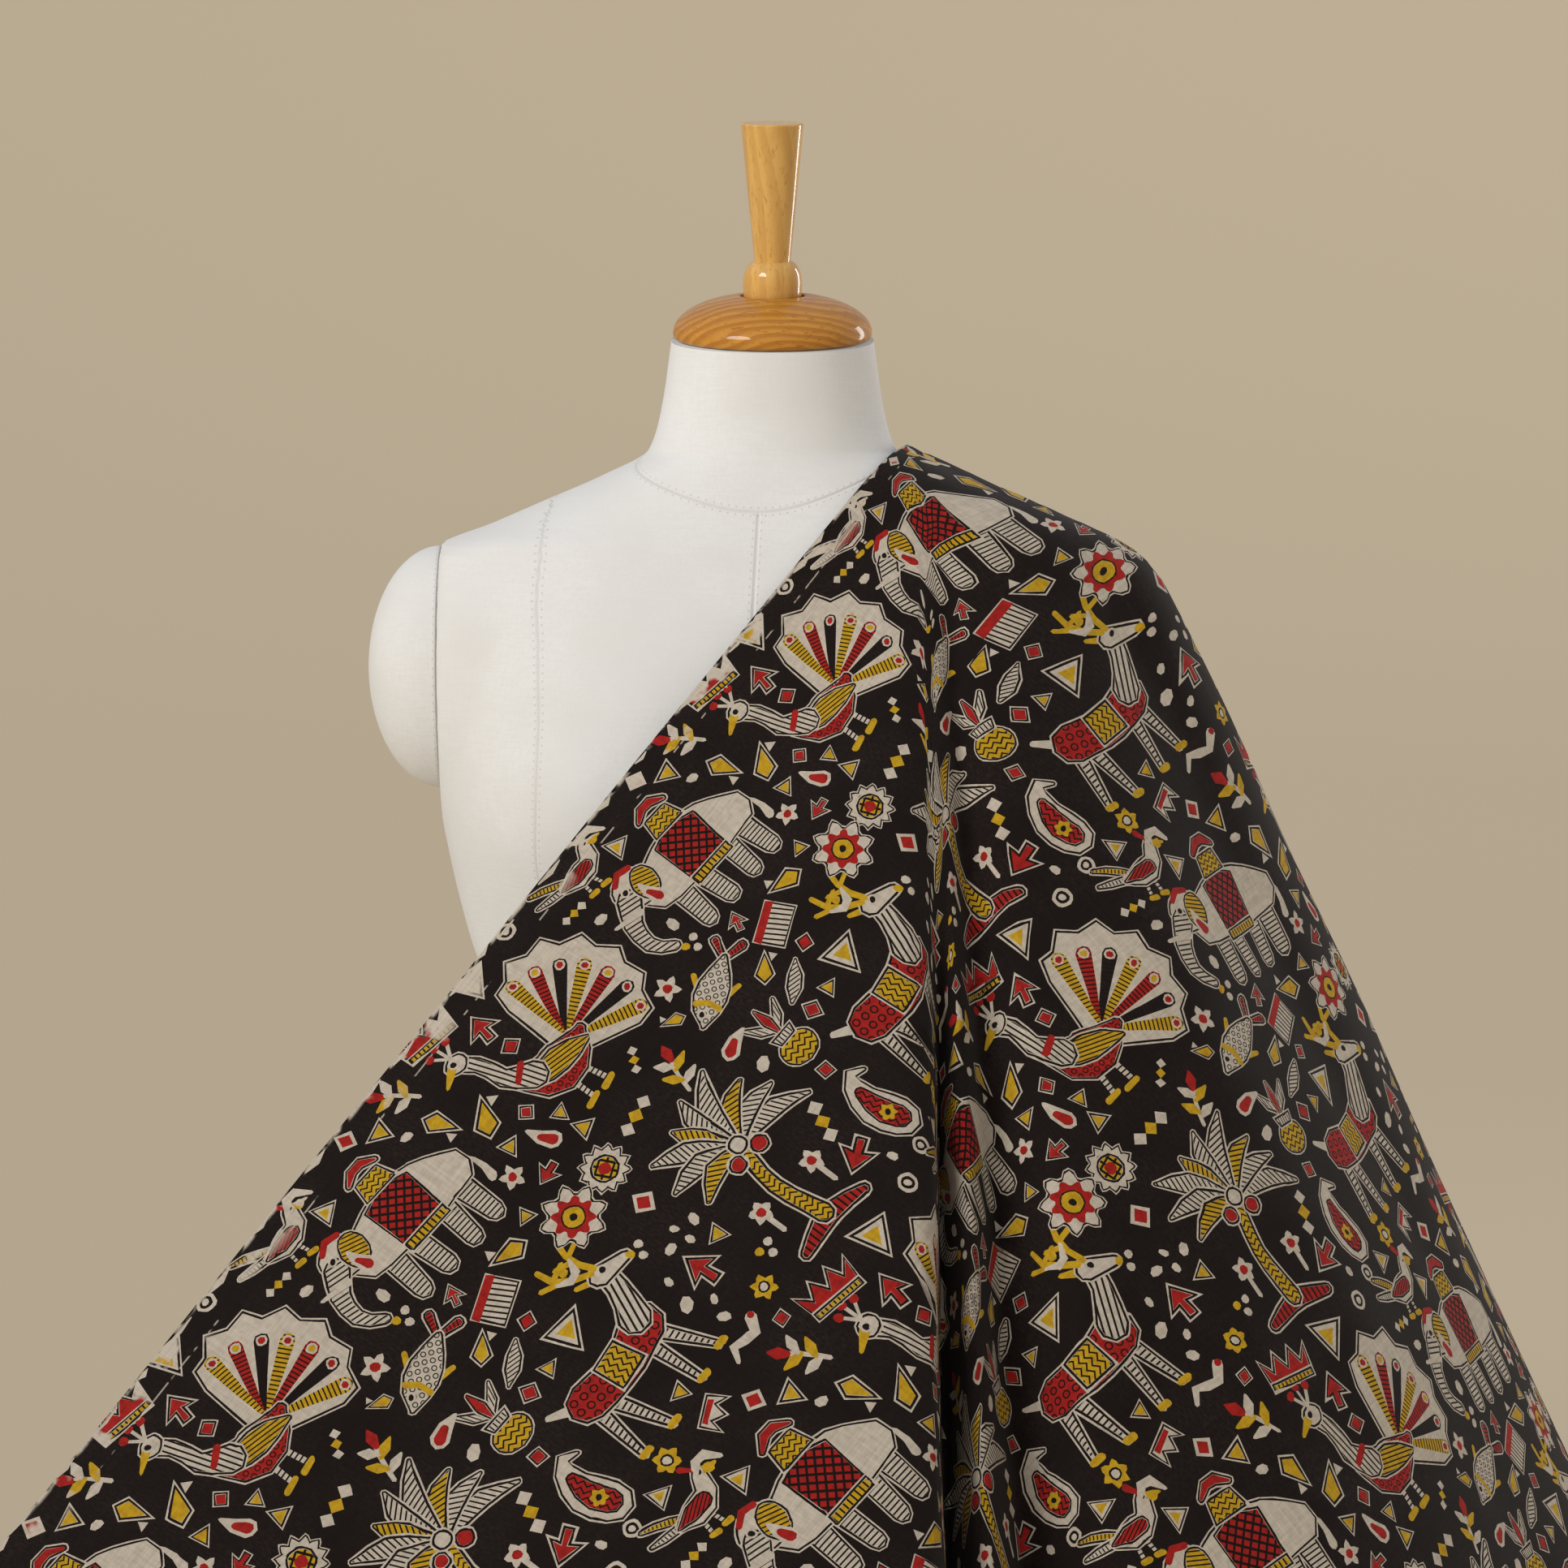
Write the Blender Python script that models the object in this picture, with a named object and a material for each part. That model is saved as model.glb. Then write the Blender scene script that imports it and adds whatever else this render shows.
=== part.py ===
"""Printed cotton cloth draped over one shoulder of a table-top dress form.

Metres, +Z up. The origin is the centre of the base plate's underside. The form faces -Y,
and the cloth hangs over the shoulder on the +X side, spread like a tent down to the surface.
"""
import math

import bmesh
import bpy
import mathutils
import numpy as np

# Stand, in metres
BASE_RADIUS = 0.130
BASE_THICKNESS = 0.022
BASE_EDGE_ROUND = 0.004
POLE_RADIUS = 0.014
TOUCHING_GAP = 0.0003

# Form: a padded torso with a neck, from its cut hip to the flat top of the neck
FORM_BOTTOM = 0.100
NECK_TOP = 0.800
FORM_SQUARENESS = 2.25
ARMHOLE_SIDE = 0.182
FORM_SECTIONS = (
    # height, half_width, front_depth, back_depth
    (0.100, 0.150, 0.104, 0.100),
    (0.112, 0.162, 0.112, 0.108),
    (0.160, 0.171, 0.117, 0.114),
    (0.230, 0.160, 0.108, 0.108),
    (0.320, 0.129, 0.090, 0.079),
    (0.400, 0.142, 0.098, 0.088),
    (0.472, 0.168, 0.108, 0.100),
    (0.530, 0.181, 0.113, 0.106),
    (0.600, 0.191, 0.110, 0.107),
    (0.650, 0.194, 0.097, 0.099),
    (0.687, 0.183, 0.080, 0.083),
    (0.700, 0.153, 0.073, 0.074),
    (0.713, 0.123, 0.067, 0.067),
    (0.726, 0.093, 0.062, 0.062),
    (0.740, 0.0680, 0.058, 0.059),
    (0.762, 0.0612, 0.055, 0.057),
    (0.800, 0.0555, 0.0545, 0.0555),
)
FORM_LEVELS = 34
FORM_SIDES = 48

# Bust: one soft swelling on each side of the centre front
BUST_RISE = 0.019
BUST_HEIGHT = 0.545
BUST_SPREAD = 0.060
BUST_ANGLE = math.radians(40.0)
BUST_WIDTH = math.radians(24.0)

# Arm caps: padded domes on the flat sides of the armholes
CAP_HEIGHT = 0.620
CAP_HALF_HEIGHT = 0.067
CAP_HALF_DEPTH = 0.050
CAP_BULGE = 0.041
CAP_RINGS = 6
CAP_SIDES = 28

# Turned wood on the neck, whose cut top falls a little towards the front
NECK_TILT = math.radians(8.0)
NECK_TILT_START = 0.755
NECK_CAP_PROFILE = (
    # radius, height above the neck's cut
    (0.0510, 0.0000),
    (0.0540, 0.0012),
    (0.0547, 0.0035),
    (0.0545, 0.0060),
    (0.0528, 0.0100),
    (0.0485, 0.0145),
    (0.0415, 0.0187),
    (0.0320, 0.0221),
    (0.0240, 0.0238),
    (0.0186, 0.0244),
    (0.0179, 0.0240),
    (0.0179, 0.0222),
)
FINIAL_SEAT = 0.0225
FINIAL_PROFILE = (
    # radius, height above the seat
    (0.0157, 0.0000),
    (0.0162, 0.0050),
    (0.0162, 0.0105),
    (0.0151, 0.0155),
    (0.0131, 0.0188),
    (0.0113, 0.0203),
    (0.0100, 0.0207),
    (0.0171, 0.0947),
    (0.0165, 0.0955),
)
TURNED_SIDES = 32

# Cloth: a half disc of cloth whose straight selvage passes the neck point. It is drawn as rays
# from that point, each one taut over the form and then straight down to its place on the surface.
CLOTH_THICKNESS = 0.0020
CLOTH_STANDOFF = 0.0036
CAP_STANDOFF = 0.0048
NECK_POINT = (0.0745, -0.002, 0.7425)
RAY_SAMPLES = 49
RAY_STATIONS = 30
CROWDING = 1.5
PUSH_REACH = 0.20
PUSH_STEPS = 41
PUSH_HALVINGS = 10
DRAPE_ROWS = (
    # azimuth_degrees from the front and distance of the floor point, lean_degrees, toe, rays
    (-54.3, 0.768, 0.0, 0.040, 6),      # front selvage
    (-31.7, 0.606, 0.0, 0.045, 6),      # taut cloth across the chest
    (-1.4, 0.560, 2.0, 0.045, 3),       # crest of the first fold
    (0.6, 0.543, 4.0, 0.040, 4),        # turned edge of the crest
    (1.9, 0.415, 8.0, 0.030, 4),        # first valley
    (4.4, 0.498, 12.0, 0.040, 4),       # second ridge
    (9.2, 0.418, 16.0, 0.030, 4),       # second valley
    (15.5, 0.480, 24.0, 0.040, 4),      # start of the broad cloth
    (32.0, 0.482, 42.0, 0.040, 4),      # broad cloth, front
    (55.0, 0.470, 62.0, 0.040, 4),      # broad cloth, side
    (84.0, 0.454, 86.0, 0.040, 4),      # outline on the right
    (107.0, 0.418, 108.0, 0.035, 4),    # side towards the back
    (115.0, 0.275, 122.0, 0.030, 4),    # first valley of the back
    (131.0, 0.420, 135.0, 0.035, 4),    # first ridge of the back
    (141.0, 0.225, 150.0, 0.030, 4),    # second valley of the back
    (159.0, 0.390, 165.0, 0.035, 4),    # second ridge of the back
    (171.0, 0.210, 174.0, 0.030, 4),    # third valley of the back
    (191.0, 0.340, 180.0, 0.035, 0),    # back selvage
)

# Colours as linear red, green, blue
BLACK_COTTON = (0.020, 0.014, 0.015)
CREAM_LINEN = (0.62, 0.56, 0.45)
TURNED_WOOD = (0.42, 0.22, 0.08)
DARK_WOOD = (0.20, 0.10, 0.045)
BRUSHED_METAL = (0.42, 0.40, 0.37)


def clear_scene():
    for old in list(bpy.data.objects):
        bpy.data.objects.remove(old, do_unlink=True)


def plain_material(name, colour, roughness, metallic=0.0):
    material = bpy.data.materials.new(name)
    material.use_nodes = True
    shader = material.node_tree.nodes["Principled BSDF"]
    shader.inputs["Base Color"].default_value = (*colour, 1.0)
    shader.inputs["Roughness"].default_value = roughness
    shader.inputs["Metallic"].default_value = metallic
    return material


def add_object(name, mesh, material):
    mesh.shade_smooth()
    mesh.set_sharp_from_angle(angle=math.radians(40.0))
    mesh.materials.append(material)
    piece = bpy.data.objects.new(name, mesh)
    bpy.context.collection.objects.link(piece)
    return piece


def smooth_through(rows, at):
    """A curve through rows of (key, values...): cubic pieces that never overshoot a row."""
    table = np.array(rows, dtype=float)
    key = table[:, 0]
    values = table[:, 1:]
    rise = np.diff(values, axis=0) / np.diff(key)[:, None]
    before = np.vstack((rise[:1], rise))
    after = np.vstack((rise, rise[-1:]))
    product = before * after
    total = np.where(np.abs(before + after) < 1e-12, 1.0, before + after)
    slope = np.where(product > 0.0, 2.0 * product / total, 0.0)
    place = np.clip(np.searchsorted(key, at, side="right") - 1, 0, len(key) - 2)
    step = (key[place + 1] - key[place])[..., None]
    t = np.clip((at - key[place])[..., None] / step, 0.0, 1.0)
    start = (1.0 + 2.0 * t) * (1.0 - t) ** 2 * values[place]
    start_slope = t * (1.0 - t) ** 2 * step * slope[place]
    end = t ** 2 * (3.0 - 2.0 * t) * values[place + 1]
    end_slope = t ** 2 * (t - 1.0) * step * slope[place + 1]
    return start + start_slope + end + end_slope


def form_radius(height, angle):
    """Radius of the torso at a height and an angle from +X: a squared ellipse, deeper or
    shallower in front than behind, with the bust added and the armhole sides cut flat."""
    section = smooth_through(FORM_SECTIONS, height)
    half_width = section[..., 0]
    depth = np.where(np.sin(angle) < 0.0, section[..., 1], section[..., 2])
    across = (np.abs(np.cos(angle)) / half_width) ** FORM_SQUARENESS
    along = (np.abs(np.sin(angle)) / depth) ** FORM_SQUARENESS
    radius = (across + along) ** (-1.0 / FORM_SQUARENESS)
    from_front = np.arctan2(np.cos(angle), -np.sin(angle))
    rise = np.exp(-((height - BUST_HEIGHT) / BUST_SPREAD) ** 2)
    rise = rise * np.exp(-((np.abs(from_front) - BUST_ANGLE) / BUST_WIDTH) ** 2)
    side = ARMHOLE_SIDE / np.maximum(np.abs(np.cos(angle)), 1e-6)
    return np.minimum(radius + BUST_RISE * rise, side)


def inside_form(points):
    """True where a point lies in the torso or in an arm cap, both swollen by the standoff."""
    x = points[..., 0]
    y = points[..., 1]
    z = points[..., 2]
    radius = form_radius(z - CLOTH_STANDOFF, np.arctan2(y, x)) + CLOTH_STANDOFF
    torso = (np.hypot(x, y) <= radius) & (z >= FORM_BOTTOM) & (z <= NECK_TOP)
    outward = (np.abs(x) - ARMHOLE_SIDE) / (CAP_BULGE + CAP_STANDOFF)
    deep = y / (CAP_HALF_DEPTH + CAP_STANDOFF)
    high = (z - CAP_HEIGHT) / (CAP_HALF_HEIGHT + CAP_STANDOFF)
    return torso | ((outward >= 0.0) & (outward ** 2 + deep ** 2 + high ** 2 <= 1.0))


def turned_mesh(name, profile, base_height):
    """A profile of (radius, height) spun round the vertical axis, closed flat at both ends."""
    work = bmesh.new()
    points = [(0.0, profile[0][1])] + list(profile) + [(0.0, profile[-1][1])]
    verts = [work.verts.new((radius, 0.0, base_height + height)) for radius, height in points]
    edges = [work.edges.new(pair) for pair in zip(verts[:-1], verts[1:])]
    bmesh.ops.spin(work, geom=verts + edges, cent=(0, 0, 0), axis=(0, 0, 1),
                   angle=2.0 * math.pi, steps=TURNED_SIDES, use_merge=True)
    bmesh.ops.remove_doubles(work, verts=work.verts, dist=1e-6)
    bmesh.ops.recalc_face_normals(work, faces=work.faces)
    mesh = bpy.data.meshes.new(name)
    work.to_mesh(mesh)
    work.free()
    return mesh


def tilted(mesh):
    """The mesh turned forward with the neck's cut, about the middle of the cut."""
    spin = mathutils.Matrix.Rotation(NECK_TILT, 4, "X")
    middle = mathutils.Matrix.Translation((0.0, 0.0, NECK_TOP))
    mesh.transform(middle @ spin @ middle.inverted())
    return mesh


def lofted_mesh(name, rings, flip=False):
    """Closed rings of points, one after another, joined by quads and closed flat at the ends."""
    count, sides = rings.shape[:2]
    work = bmesh.new()
    verts = [[work.verts.new(point) for point in ring] for ring in rings.tolist()]
    for low, high in zip(verts[:-1], verts[1:]):
        for side in range(sides):
            after = (side + 1) % sides
            work.faces.new((low[side], low[after], high[after], high[side]))
    work.faces.new(list(reversed(verts[0])))
    work.faces.new(verts[-1])
    if flip:
        bmesh.ops.reverse_faces(work, faces=work.faces)
    mesh = bpy.data.meshes.new(name)
    work.to_mesh(mesh)
    work.free()
    return mesh


def make_torso(material):
    blend = np.linspace(0.0, 1.0, FORM_LEVELS)
    keys = np.array([row[0] for row in FORM_SECTIONS])
    by_row = np.interp(blend * (len(keys) - 1), np.arange(len(keys)), keys)
    even = FORM_BOTTOM + blend * (NECK_TOP - FORM_BOTTOM)
    levels = 0.5 * (by_row + even)
    levels[-1] = NECK_TOP - TOUCHING_GAP
    angles = np.linspace(0.0, 2.0 * math.pi, FORM_SIDES, endpoint=False)
    height, angle = np.meshgrid(levels, angles, indexing="ij")
    radius = form_radius(height, angle)
    blend = np.clip((height - NECK_TILT_START) / (NECK_TOP - NECK_TILT_START), 0.0, 1.0)
    fall = blend ** 2 * (3.0 - 2.0 * blend) * math.tan(NECK_TILT) * radius * np.sin(angle)
    rings = np.stack((radius * np.cos(angle), radius * np.sin(angle), height + fall), axis=-1)
    return add_object("torso", lofted_mesh("torso", rings), material)


def make_arm_cap(name, side, material):
    rise, turn = np.meshgrid(np.linspace(0.0, 0.94 * math.pi / 2.0, CAP_RINGS),
                             np.linspace(0.0, 2.0 * math.pi, CAP_SIDES, endpoint=False),
                             indexing="ij")
    out = ARMHOLE_SIDE + TOUCHING_GAP + CAP_BULGE * np.sin(rise)
    y = CAP_HALF_DEPTH * np.cos(rise) * np.cos(turn)
    z = CAP_HEIGHT + CAP_HALF_HEIGHT * np.cos(rise) * np.sin(turn)
    rings = np.stack((side * out, y, z), axis=-1)
    return add_object(name, lofted_mesh(name, rings, flip=side < 0), material)


def make_stand(base_material, pole_material):
    bevel = BASE_EDGE_ROUND
    base = (
        (BASE_RADIUS, 0.0),
        (BASE_RADIUS, BASE_THICKNESS - bevel),
        (BASE_RADIUS - 0.3 * bevel, BASE_THICKNESS - 0.3 * bevel),
        (BASE_RADIUS - bevel, BASE_THICKNESS),
    )
    pole_top = FORM_BOTTOM - BASE_THICKNESS - 2.0 * TOUCHING_GAP
    pole = ((POLE_RADIUS, 0.0), (POLE_RADIUS, pole_top))
    add_object("base_plate", turned_mesh("base_plate", base, 0.0), base_material)
    add_object("stand_pole", turned_mesh("stand_pole", pole, BASE_THICKNESS + TOUCHING_GAP),
               pole_material)


def taut_over(lift, along):
    """The lowest curve without hollows over the lifts: at each place, the highest chord
    between any two lifts on either side of it."""
    first = along[:, None, None]
    here = along[None, :, None]
    last = along[None, None, :]
    span = np.maximum(last - first, 1e-9)
    chord = (lift[:, None, None] * (last - here) + lift[None, None, :] * (here - first)) / span
    valid = (first <= here) & (here <= last) & (last > first)
    return np.where(valid, chord, -1.0).max(axis=(0, 2))


def push_distance(base, push):
    """How far each chord point has to move along its push to leave the form."""
    tries = np.linspace(0.0, PUSH_REACH, PUSH_STEPS)
    spots = base[:, :, None, :] + tries[None, None, :, None] * push[:, None, None, :]
    low = np.where(inside_form(spots), tries, -1.0).max(axis=2)
    hit = low >= 0.0
    high = low + tries[1]
    for _ in range(PUSH_HALVINGS):
        middle = 0.5 * (low + high)
        held = inside_form(base + middle[..., None] * push[:, None, :])
        low = np.where(held, middle, low)
        high = np.where(held, high, middle)
    return np.where(hit, high, 0.0)


def drape_grid():
    """Points of the cloth's middle layer, one row for each ray and one column for each station.

    Each ray starts on the neck point and lies in the plane of its chord and its push. It is the
    taut curve over the form, and goes on flat along the surface as a short toe."""
    table = np.array([row[:4] for row in DRAPE_ROWS])
    keyed = np.column_stack((np.arange(len(table)), table))
    places = [number + np.arange(row[4]) / max(row[4], 1) for number, row in enumerate(DRAPE_ROWS)]
    at = np.concatenate(places + [np.array([len(table) - 1.0])])
    azimuth, distance, lean, toe = smooth_through(keyed, at).T
    azimuth = np.radians(azimuth)
    lean = np.radians(lean)
    neck = np.array(NECK_POINT)
    floor = np.column_stack((neck[0] + distance * np.sin(azimuth),
                             neck[1] - distance * np.cos(azimuth),
                             np.full(len(at), 0.5 * CLOTH_THICKNESS)))
    chord = floor - neck
    direction = chord / np.linalg.norm(chord, axis=1)[:, None]
    push = np.column_stack((np.sin(lean), -np.cos(lean), np.full(len(at), 0.25)))
    push -= (push * direction).sum(axis=1)[:, None] * direction
    push /= np.linalg.norm(push, axis=1)[:, None]
    along = np.linspace(0.0, 1.0, RAY_SAMPLES) ** CROWDING
    base = neck + along[None, :, None] * chord[:, None, :]
    lift = push_distance(base, push)
    lift[:, 0] = 0.0
    rays = []
    stations = np.linspace(0.0, 1.0, RAY_STATIONS) ** CROWDING
    for number in range(len(at)):
        height = taut_over(lift[number], along)
        line = base[number] + height[:, None] * push[number]
        outward = np.array((chord[number, 0], chord[number, 1], 0.0))
        outward /= np.linalg.norm(outward)
        toe_line = floor[number] + np.array((0.5, 1.0))[:, None] * toe[number] * outward
        line = np.vstack((line, toe_line))
        line[:, 2] = np.maximum(line[:, 2], 0.5 * CLOTH_THICKNESS)
        travel = np.concatenate(((0.0,), np.cumsum(np.linalg.norm(np.diff(line, axis=0), axis=1))))
        wanted = stations * travel[-1]
        rays.append(np.column_stack([np.interp(wanted, travel, line[:, axis]) for axis in range(3)]))
    return np.array(rays)


def surface_normals(grid):
    """Outward unit normals of the grid, from the cross product of its two directions."""
    across = np.gradient(grid, axis=0)
    down = np.gradient(grid, axis=1)
    normals = np.cross(down, across)
    size = np.linalg.norm(normals, axis=2, keepdims=True)
    normals = normals / np.maximum(size, 1e-12)
    top = normals[:, 1].mean(axis=0)
    normals[:, 0] = top / np.linalg.norm(top)
    return normals


def make_cloth(material):
    """The cloth as one closed solid: two layers half a thickness either side of the grid."""
    grid = drape_grid()
    normals = surface_normals(grid)
    rays, stations = grid.shape[:2]
    outer = grid + 0.5 * CLOTH_THICKNESS * normals
    inner = grid - 0.5 * CLOTH_THICKNESS * normals
    inner[..., 2] = np.maximum(inner[..., 2], 0.0)
    outer[..., 2] = np.maximum(outer[..., 2], inner[..., 2] + 0.4 * CLOTH_THICKNESS)
    per_layer = 1 + rays * (stations - 1)
    points = []
    for layer in (outer, inner):
        points.append(layer[:1, 0])
        points.append(layer[:, 1:].reshape(-1, 3))
    points = np.vstack(points)

    def spot(layer, ray, station):
        if station == 0:
            return layer * per_layer
        return layer * per_layer + 1 + ray * (stations - 1) + station - 1

    faces = []
    for layer in (0, 1):
        for ray in range(rays - 1):
            for station in range(stations - 1):
                a = spot(layer, ray, station)
                b = spot(layer, ray, station + 1)
                c = spot(layer, ray + 1, station + 1)
                d = spot(layer, ray + 1, station)
                pieces = [(a, b, c)] if station == 0 else [(a, b, c), (a, c, d)]
                faces += pieces if layer == 0 else [tuple(reversed(piece)) for piece in pieces]
    hem = [(ray, stations - 1) for ray in range(rays)]
    front = [(0, station) for station in range(stations)]
    back = [(rays - 1, station) for station in reversed(range(stations))]
    rim = front + hem[1:] + back[1:]
    for (ray, station), (next_ray, next_station) in zip(rim[:-1], rim[1:]):
        a = spot(0, ray, station)
        b = spot(0, next_ray, next_station)
        c = spot(1, next_ray, next_station)
        d = spot(1, ray, station)
        faces += [(a, c, b), (a, d, c)]
    mesh = bpy.data.meshes.new("cloth")
    mesh.from_pydata(points.tolist(), [], faces)
    return add_object("cloth", mesh, material)


def main():
    clear_scene()
    linen = plain_material("cream_linen", CREAM_LINEN, 0.85)
    wood = plain_material("turned_wood", TURNED_WOOD, 0.35)
    dark_wood = plain_material("dark_wood", DARK_WOOD, 0.40)
    metal = plain_material("brushed_metal", BRUSHED_METAL, 0.35, 1.0)
    cotton = plain_material("black_cotton", BLACK_COTTON, 0.80)
    make_stand(dark_wood, metal)
    make_torso(linen)
    make_arm_cap("arm_cap_left", 1.0, linen)
    make_arm_cap("arm_cap_right", -1.0, linen)
    neck_cap = turned_mesh("neck_cap", NECK_CAP_PROFILE, NECK_TOP)
    finial = turned_mesh("finial", FINIAL_PROFILE, NECK_TOP + FINIAL_SEAT)
    add_object("neck_cap", tilted(neck_cap), wood)
    add_object("finial", tilted(finial), wood)
    make_cloth(cotton)


main()
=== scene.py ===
"""Looks for a printed cotton cloth that hangs over one shoulder of a table-top dress form.

The cloth is a single sheet. Its flat pattern, in which the printed motifs are cut out as
polygons, is laid on the draped form ray by ray from the point of the neck.
"""
import math

import bpy
import numpy as np
from mathutils import Matrix, Vector
from mathutils.geometry import delaunay_2d_cdt


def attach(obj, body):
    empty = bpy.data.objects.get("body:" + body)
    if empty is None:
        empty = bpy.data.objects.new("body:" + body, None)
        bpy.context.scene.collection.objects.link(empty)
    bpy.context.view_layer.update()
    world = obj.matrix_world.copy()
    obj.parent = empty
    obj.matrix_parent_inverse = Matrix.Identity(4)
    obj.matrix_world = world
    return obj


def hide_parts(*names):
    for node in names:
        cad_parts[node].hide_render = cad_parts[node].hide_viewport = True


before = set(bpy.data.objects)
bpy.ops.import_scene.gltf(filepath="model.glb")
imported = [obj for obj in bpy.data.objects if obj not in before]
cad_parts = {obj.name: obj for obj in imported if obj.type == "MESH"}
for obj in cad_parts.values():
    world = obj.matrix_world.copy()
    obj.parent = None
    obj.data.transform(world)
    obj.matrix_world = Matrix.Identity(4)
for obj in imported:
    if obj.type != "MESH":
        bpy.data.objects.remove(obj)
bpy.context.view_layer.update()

bl_info = {
    "name": "Draped printed cloth",
    "version": (1, 0, 0),
    "blender": (4, 5, 0),
    "location": "3D View > Sidebar > Drape",
    "description": "Builds a printed cloth draped over a dress form, with its form and stage",
    "category": "Object",
}

TAU = 2.0 * math.pi

# Inks of the print, by number
BLACK = 0
CREAM = 1
RED = 2
MUSTARD = 3

# Line fillings of a printed shape, by number
PLAIN = 0
STRIPES = 1
CHECKS = 2
ZIGZAG = 3
RINGS = 4
UNFILLED = (PLAIN, 1.0, 0.0)

# Form, in metres, with the sections of the CAD model
FORM_BOTTOM = 0.100
NECK_TOP = 0.800
FORM_SQUARENESS = 2.25
ARMHOLE_SIDE = 0.182
TOUCHING_GAP = 0.0003
FORM_SECTIONS = (
    # height, half_width, front_depth, back_depth
    (0.100, 0.150, 0.104, 0.100),
    (0.112, 0.162, 0.112, 0.108),
    (0.160, 0.171, 0.117, 0.114),
    (0.230, 0.160, 0.108, 0.108),
    (0.320, 0.129, 0.090, 0.079),
    (0.400, 0.142, 0.098, 0.088),
    (0.472, 0.168, 0.108, 0.100),
    (0.530, 0.181, 0.113, 0.106),
    (0.600, 0.191, 0.110, 0.107),
    (0.650, 0.194, 0.097, 0.099),
    (0.687, 0.183, 0.080, 0.083),
    (0.700, 0.153, 0.073, 0.074),
    (0.713, 0.123, 0.067, 0.067),
    (0.726, 0.093, 0.062, 0.062),
    (0.740, 0.0680, 0.058, 0.059),
    (0.762, 0.0612, 0.055, 0.057),
    (0.800, 0.0555, 0.0545, 0.0555),
)
BUST_RISE = 0.019
BUST_HEIGHT = 0.545
BUST_SPREAD = 0.060
BUST_ANGLE = math.radians(40.0)
BUST_WIDTH = math.radians(24.0)
CAP_HEIGHT = 0.620
CAP_HALF_HEIGHT = 0.067
CAP_HALF_DEPTH = 0.050
CAP_BULGE = 0.041
CAP_RIM_RADIUS = 0.058
CAP_RISE_RADIUS = 0.055
COLLAR_START = 1.02       # in shares of the arm cap's rim
COLLAR_REACH = 0.45
COLLAR_SIDE = 0.100
COLLAR_SIDE_BLEND = 0.050
COLLAR_TOP = 0.693
COLLAR_TOP_BLEND = 0.012

# Seams of the linen cover, in metres and degrees
FORM_FACING = -6.0
PRINCESS_SEAM = (
    # height, angle from the front
    (0.100, 45.0),
    (0.160, 45.0),
    (0.320, 44.0),
    (0.400, 46.0),
    (0.504, 46.0),
    (0.549, 44.3),
    (0.591, 46.0),
    (0.625, 49.0),
    (0.651, 52.0),
    (0.673, 55.0),
    (0.690, 58.0),
    (0.700, 63.0),
    (0.705, 66.0),
    (0.710, 70.5),
    (0.715, 82.0),
    (0.720, 85.0),
    (0.800, 86.0),
)
NECK_SEAM_FRONT = 0.707
NECK_SEAM_SIDE = 0.738
NECK_SEAM_BACK = 0.733
NECK_SEAM_RADIUS = 0.075
NECK_SLOPE_FRONT = 1.05
NECK_SLOPE_SIDE = 0.90
NECK_RINGS_FROM = 0.680
NECK_RINGS_REACH = 0.090
BACK_SEAM_TURN = 0.66     # radians from the side seam to the seam behind it

# Turned pieces, in metres with the profiles of the CAD model
BASE_RADIUS = 0.130
BASE_THICKNESS = 0.022
BASE_EDGE_ROUND = 0.004
BASE_EDGE_STEPS = 6
POLE_RADIUS = 0.014
NECK_TILT = math.radians(8.0)
NECK_TILT_START = 0.755
SHARP_ANGLE = math.radians(38.0)
AXIS_RADIUS = 0.0002
CAP_HEART_DEPTH = 0.030
BASE_HEART_DEPTH = 0.020
NECK_CAP_PROFILE = (
    # radius, height above the neck's cut
    (0.0510, 0.0000),
    (0.0540, 0.0012),
    (0.0547, 0.0035),
    (0.0545, 0.0060),
    (0.0528, 0.0100),
    (0.0485, 0.0145),
    (0.0415, 0.0187),
    (0.0320, 0.0221),
    (0.0240, 0.0238),
    (0.0186, 0.0244),
)
NECK_CAP_RECESS = (
    (0.0179, 0.0240),
    (0.0179, 0.0222),
)
FINIAL_SEAT = 0.0225
FINIAL_BEAD = (
    # radius, height above its seat
    (0.0157, 0.0000),
    (0.0162, 0.0050),
    (0.0162, 0.0105),
    (0.0151, 0.0155),
    (0.0131, 0.0188),
    (0.0113, 0.0203),
)
FINIAL_SHAFT = (
    (0.0100, 0.0207),
    (0.0171, 0.0947),
    (0.0165, 0.0955),
)

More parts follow.
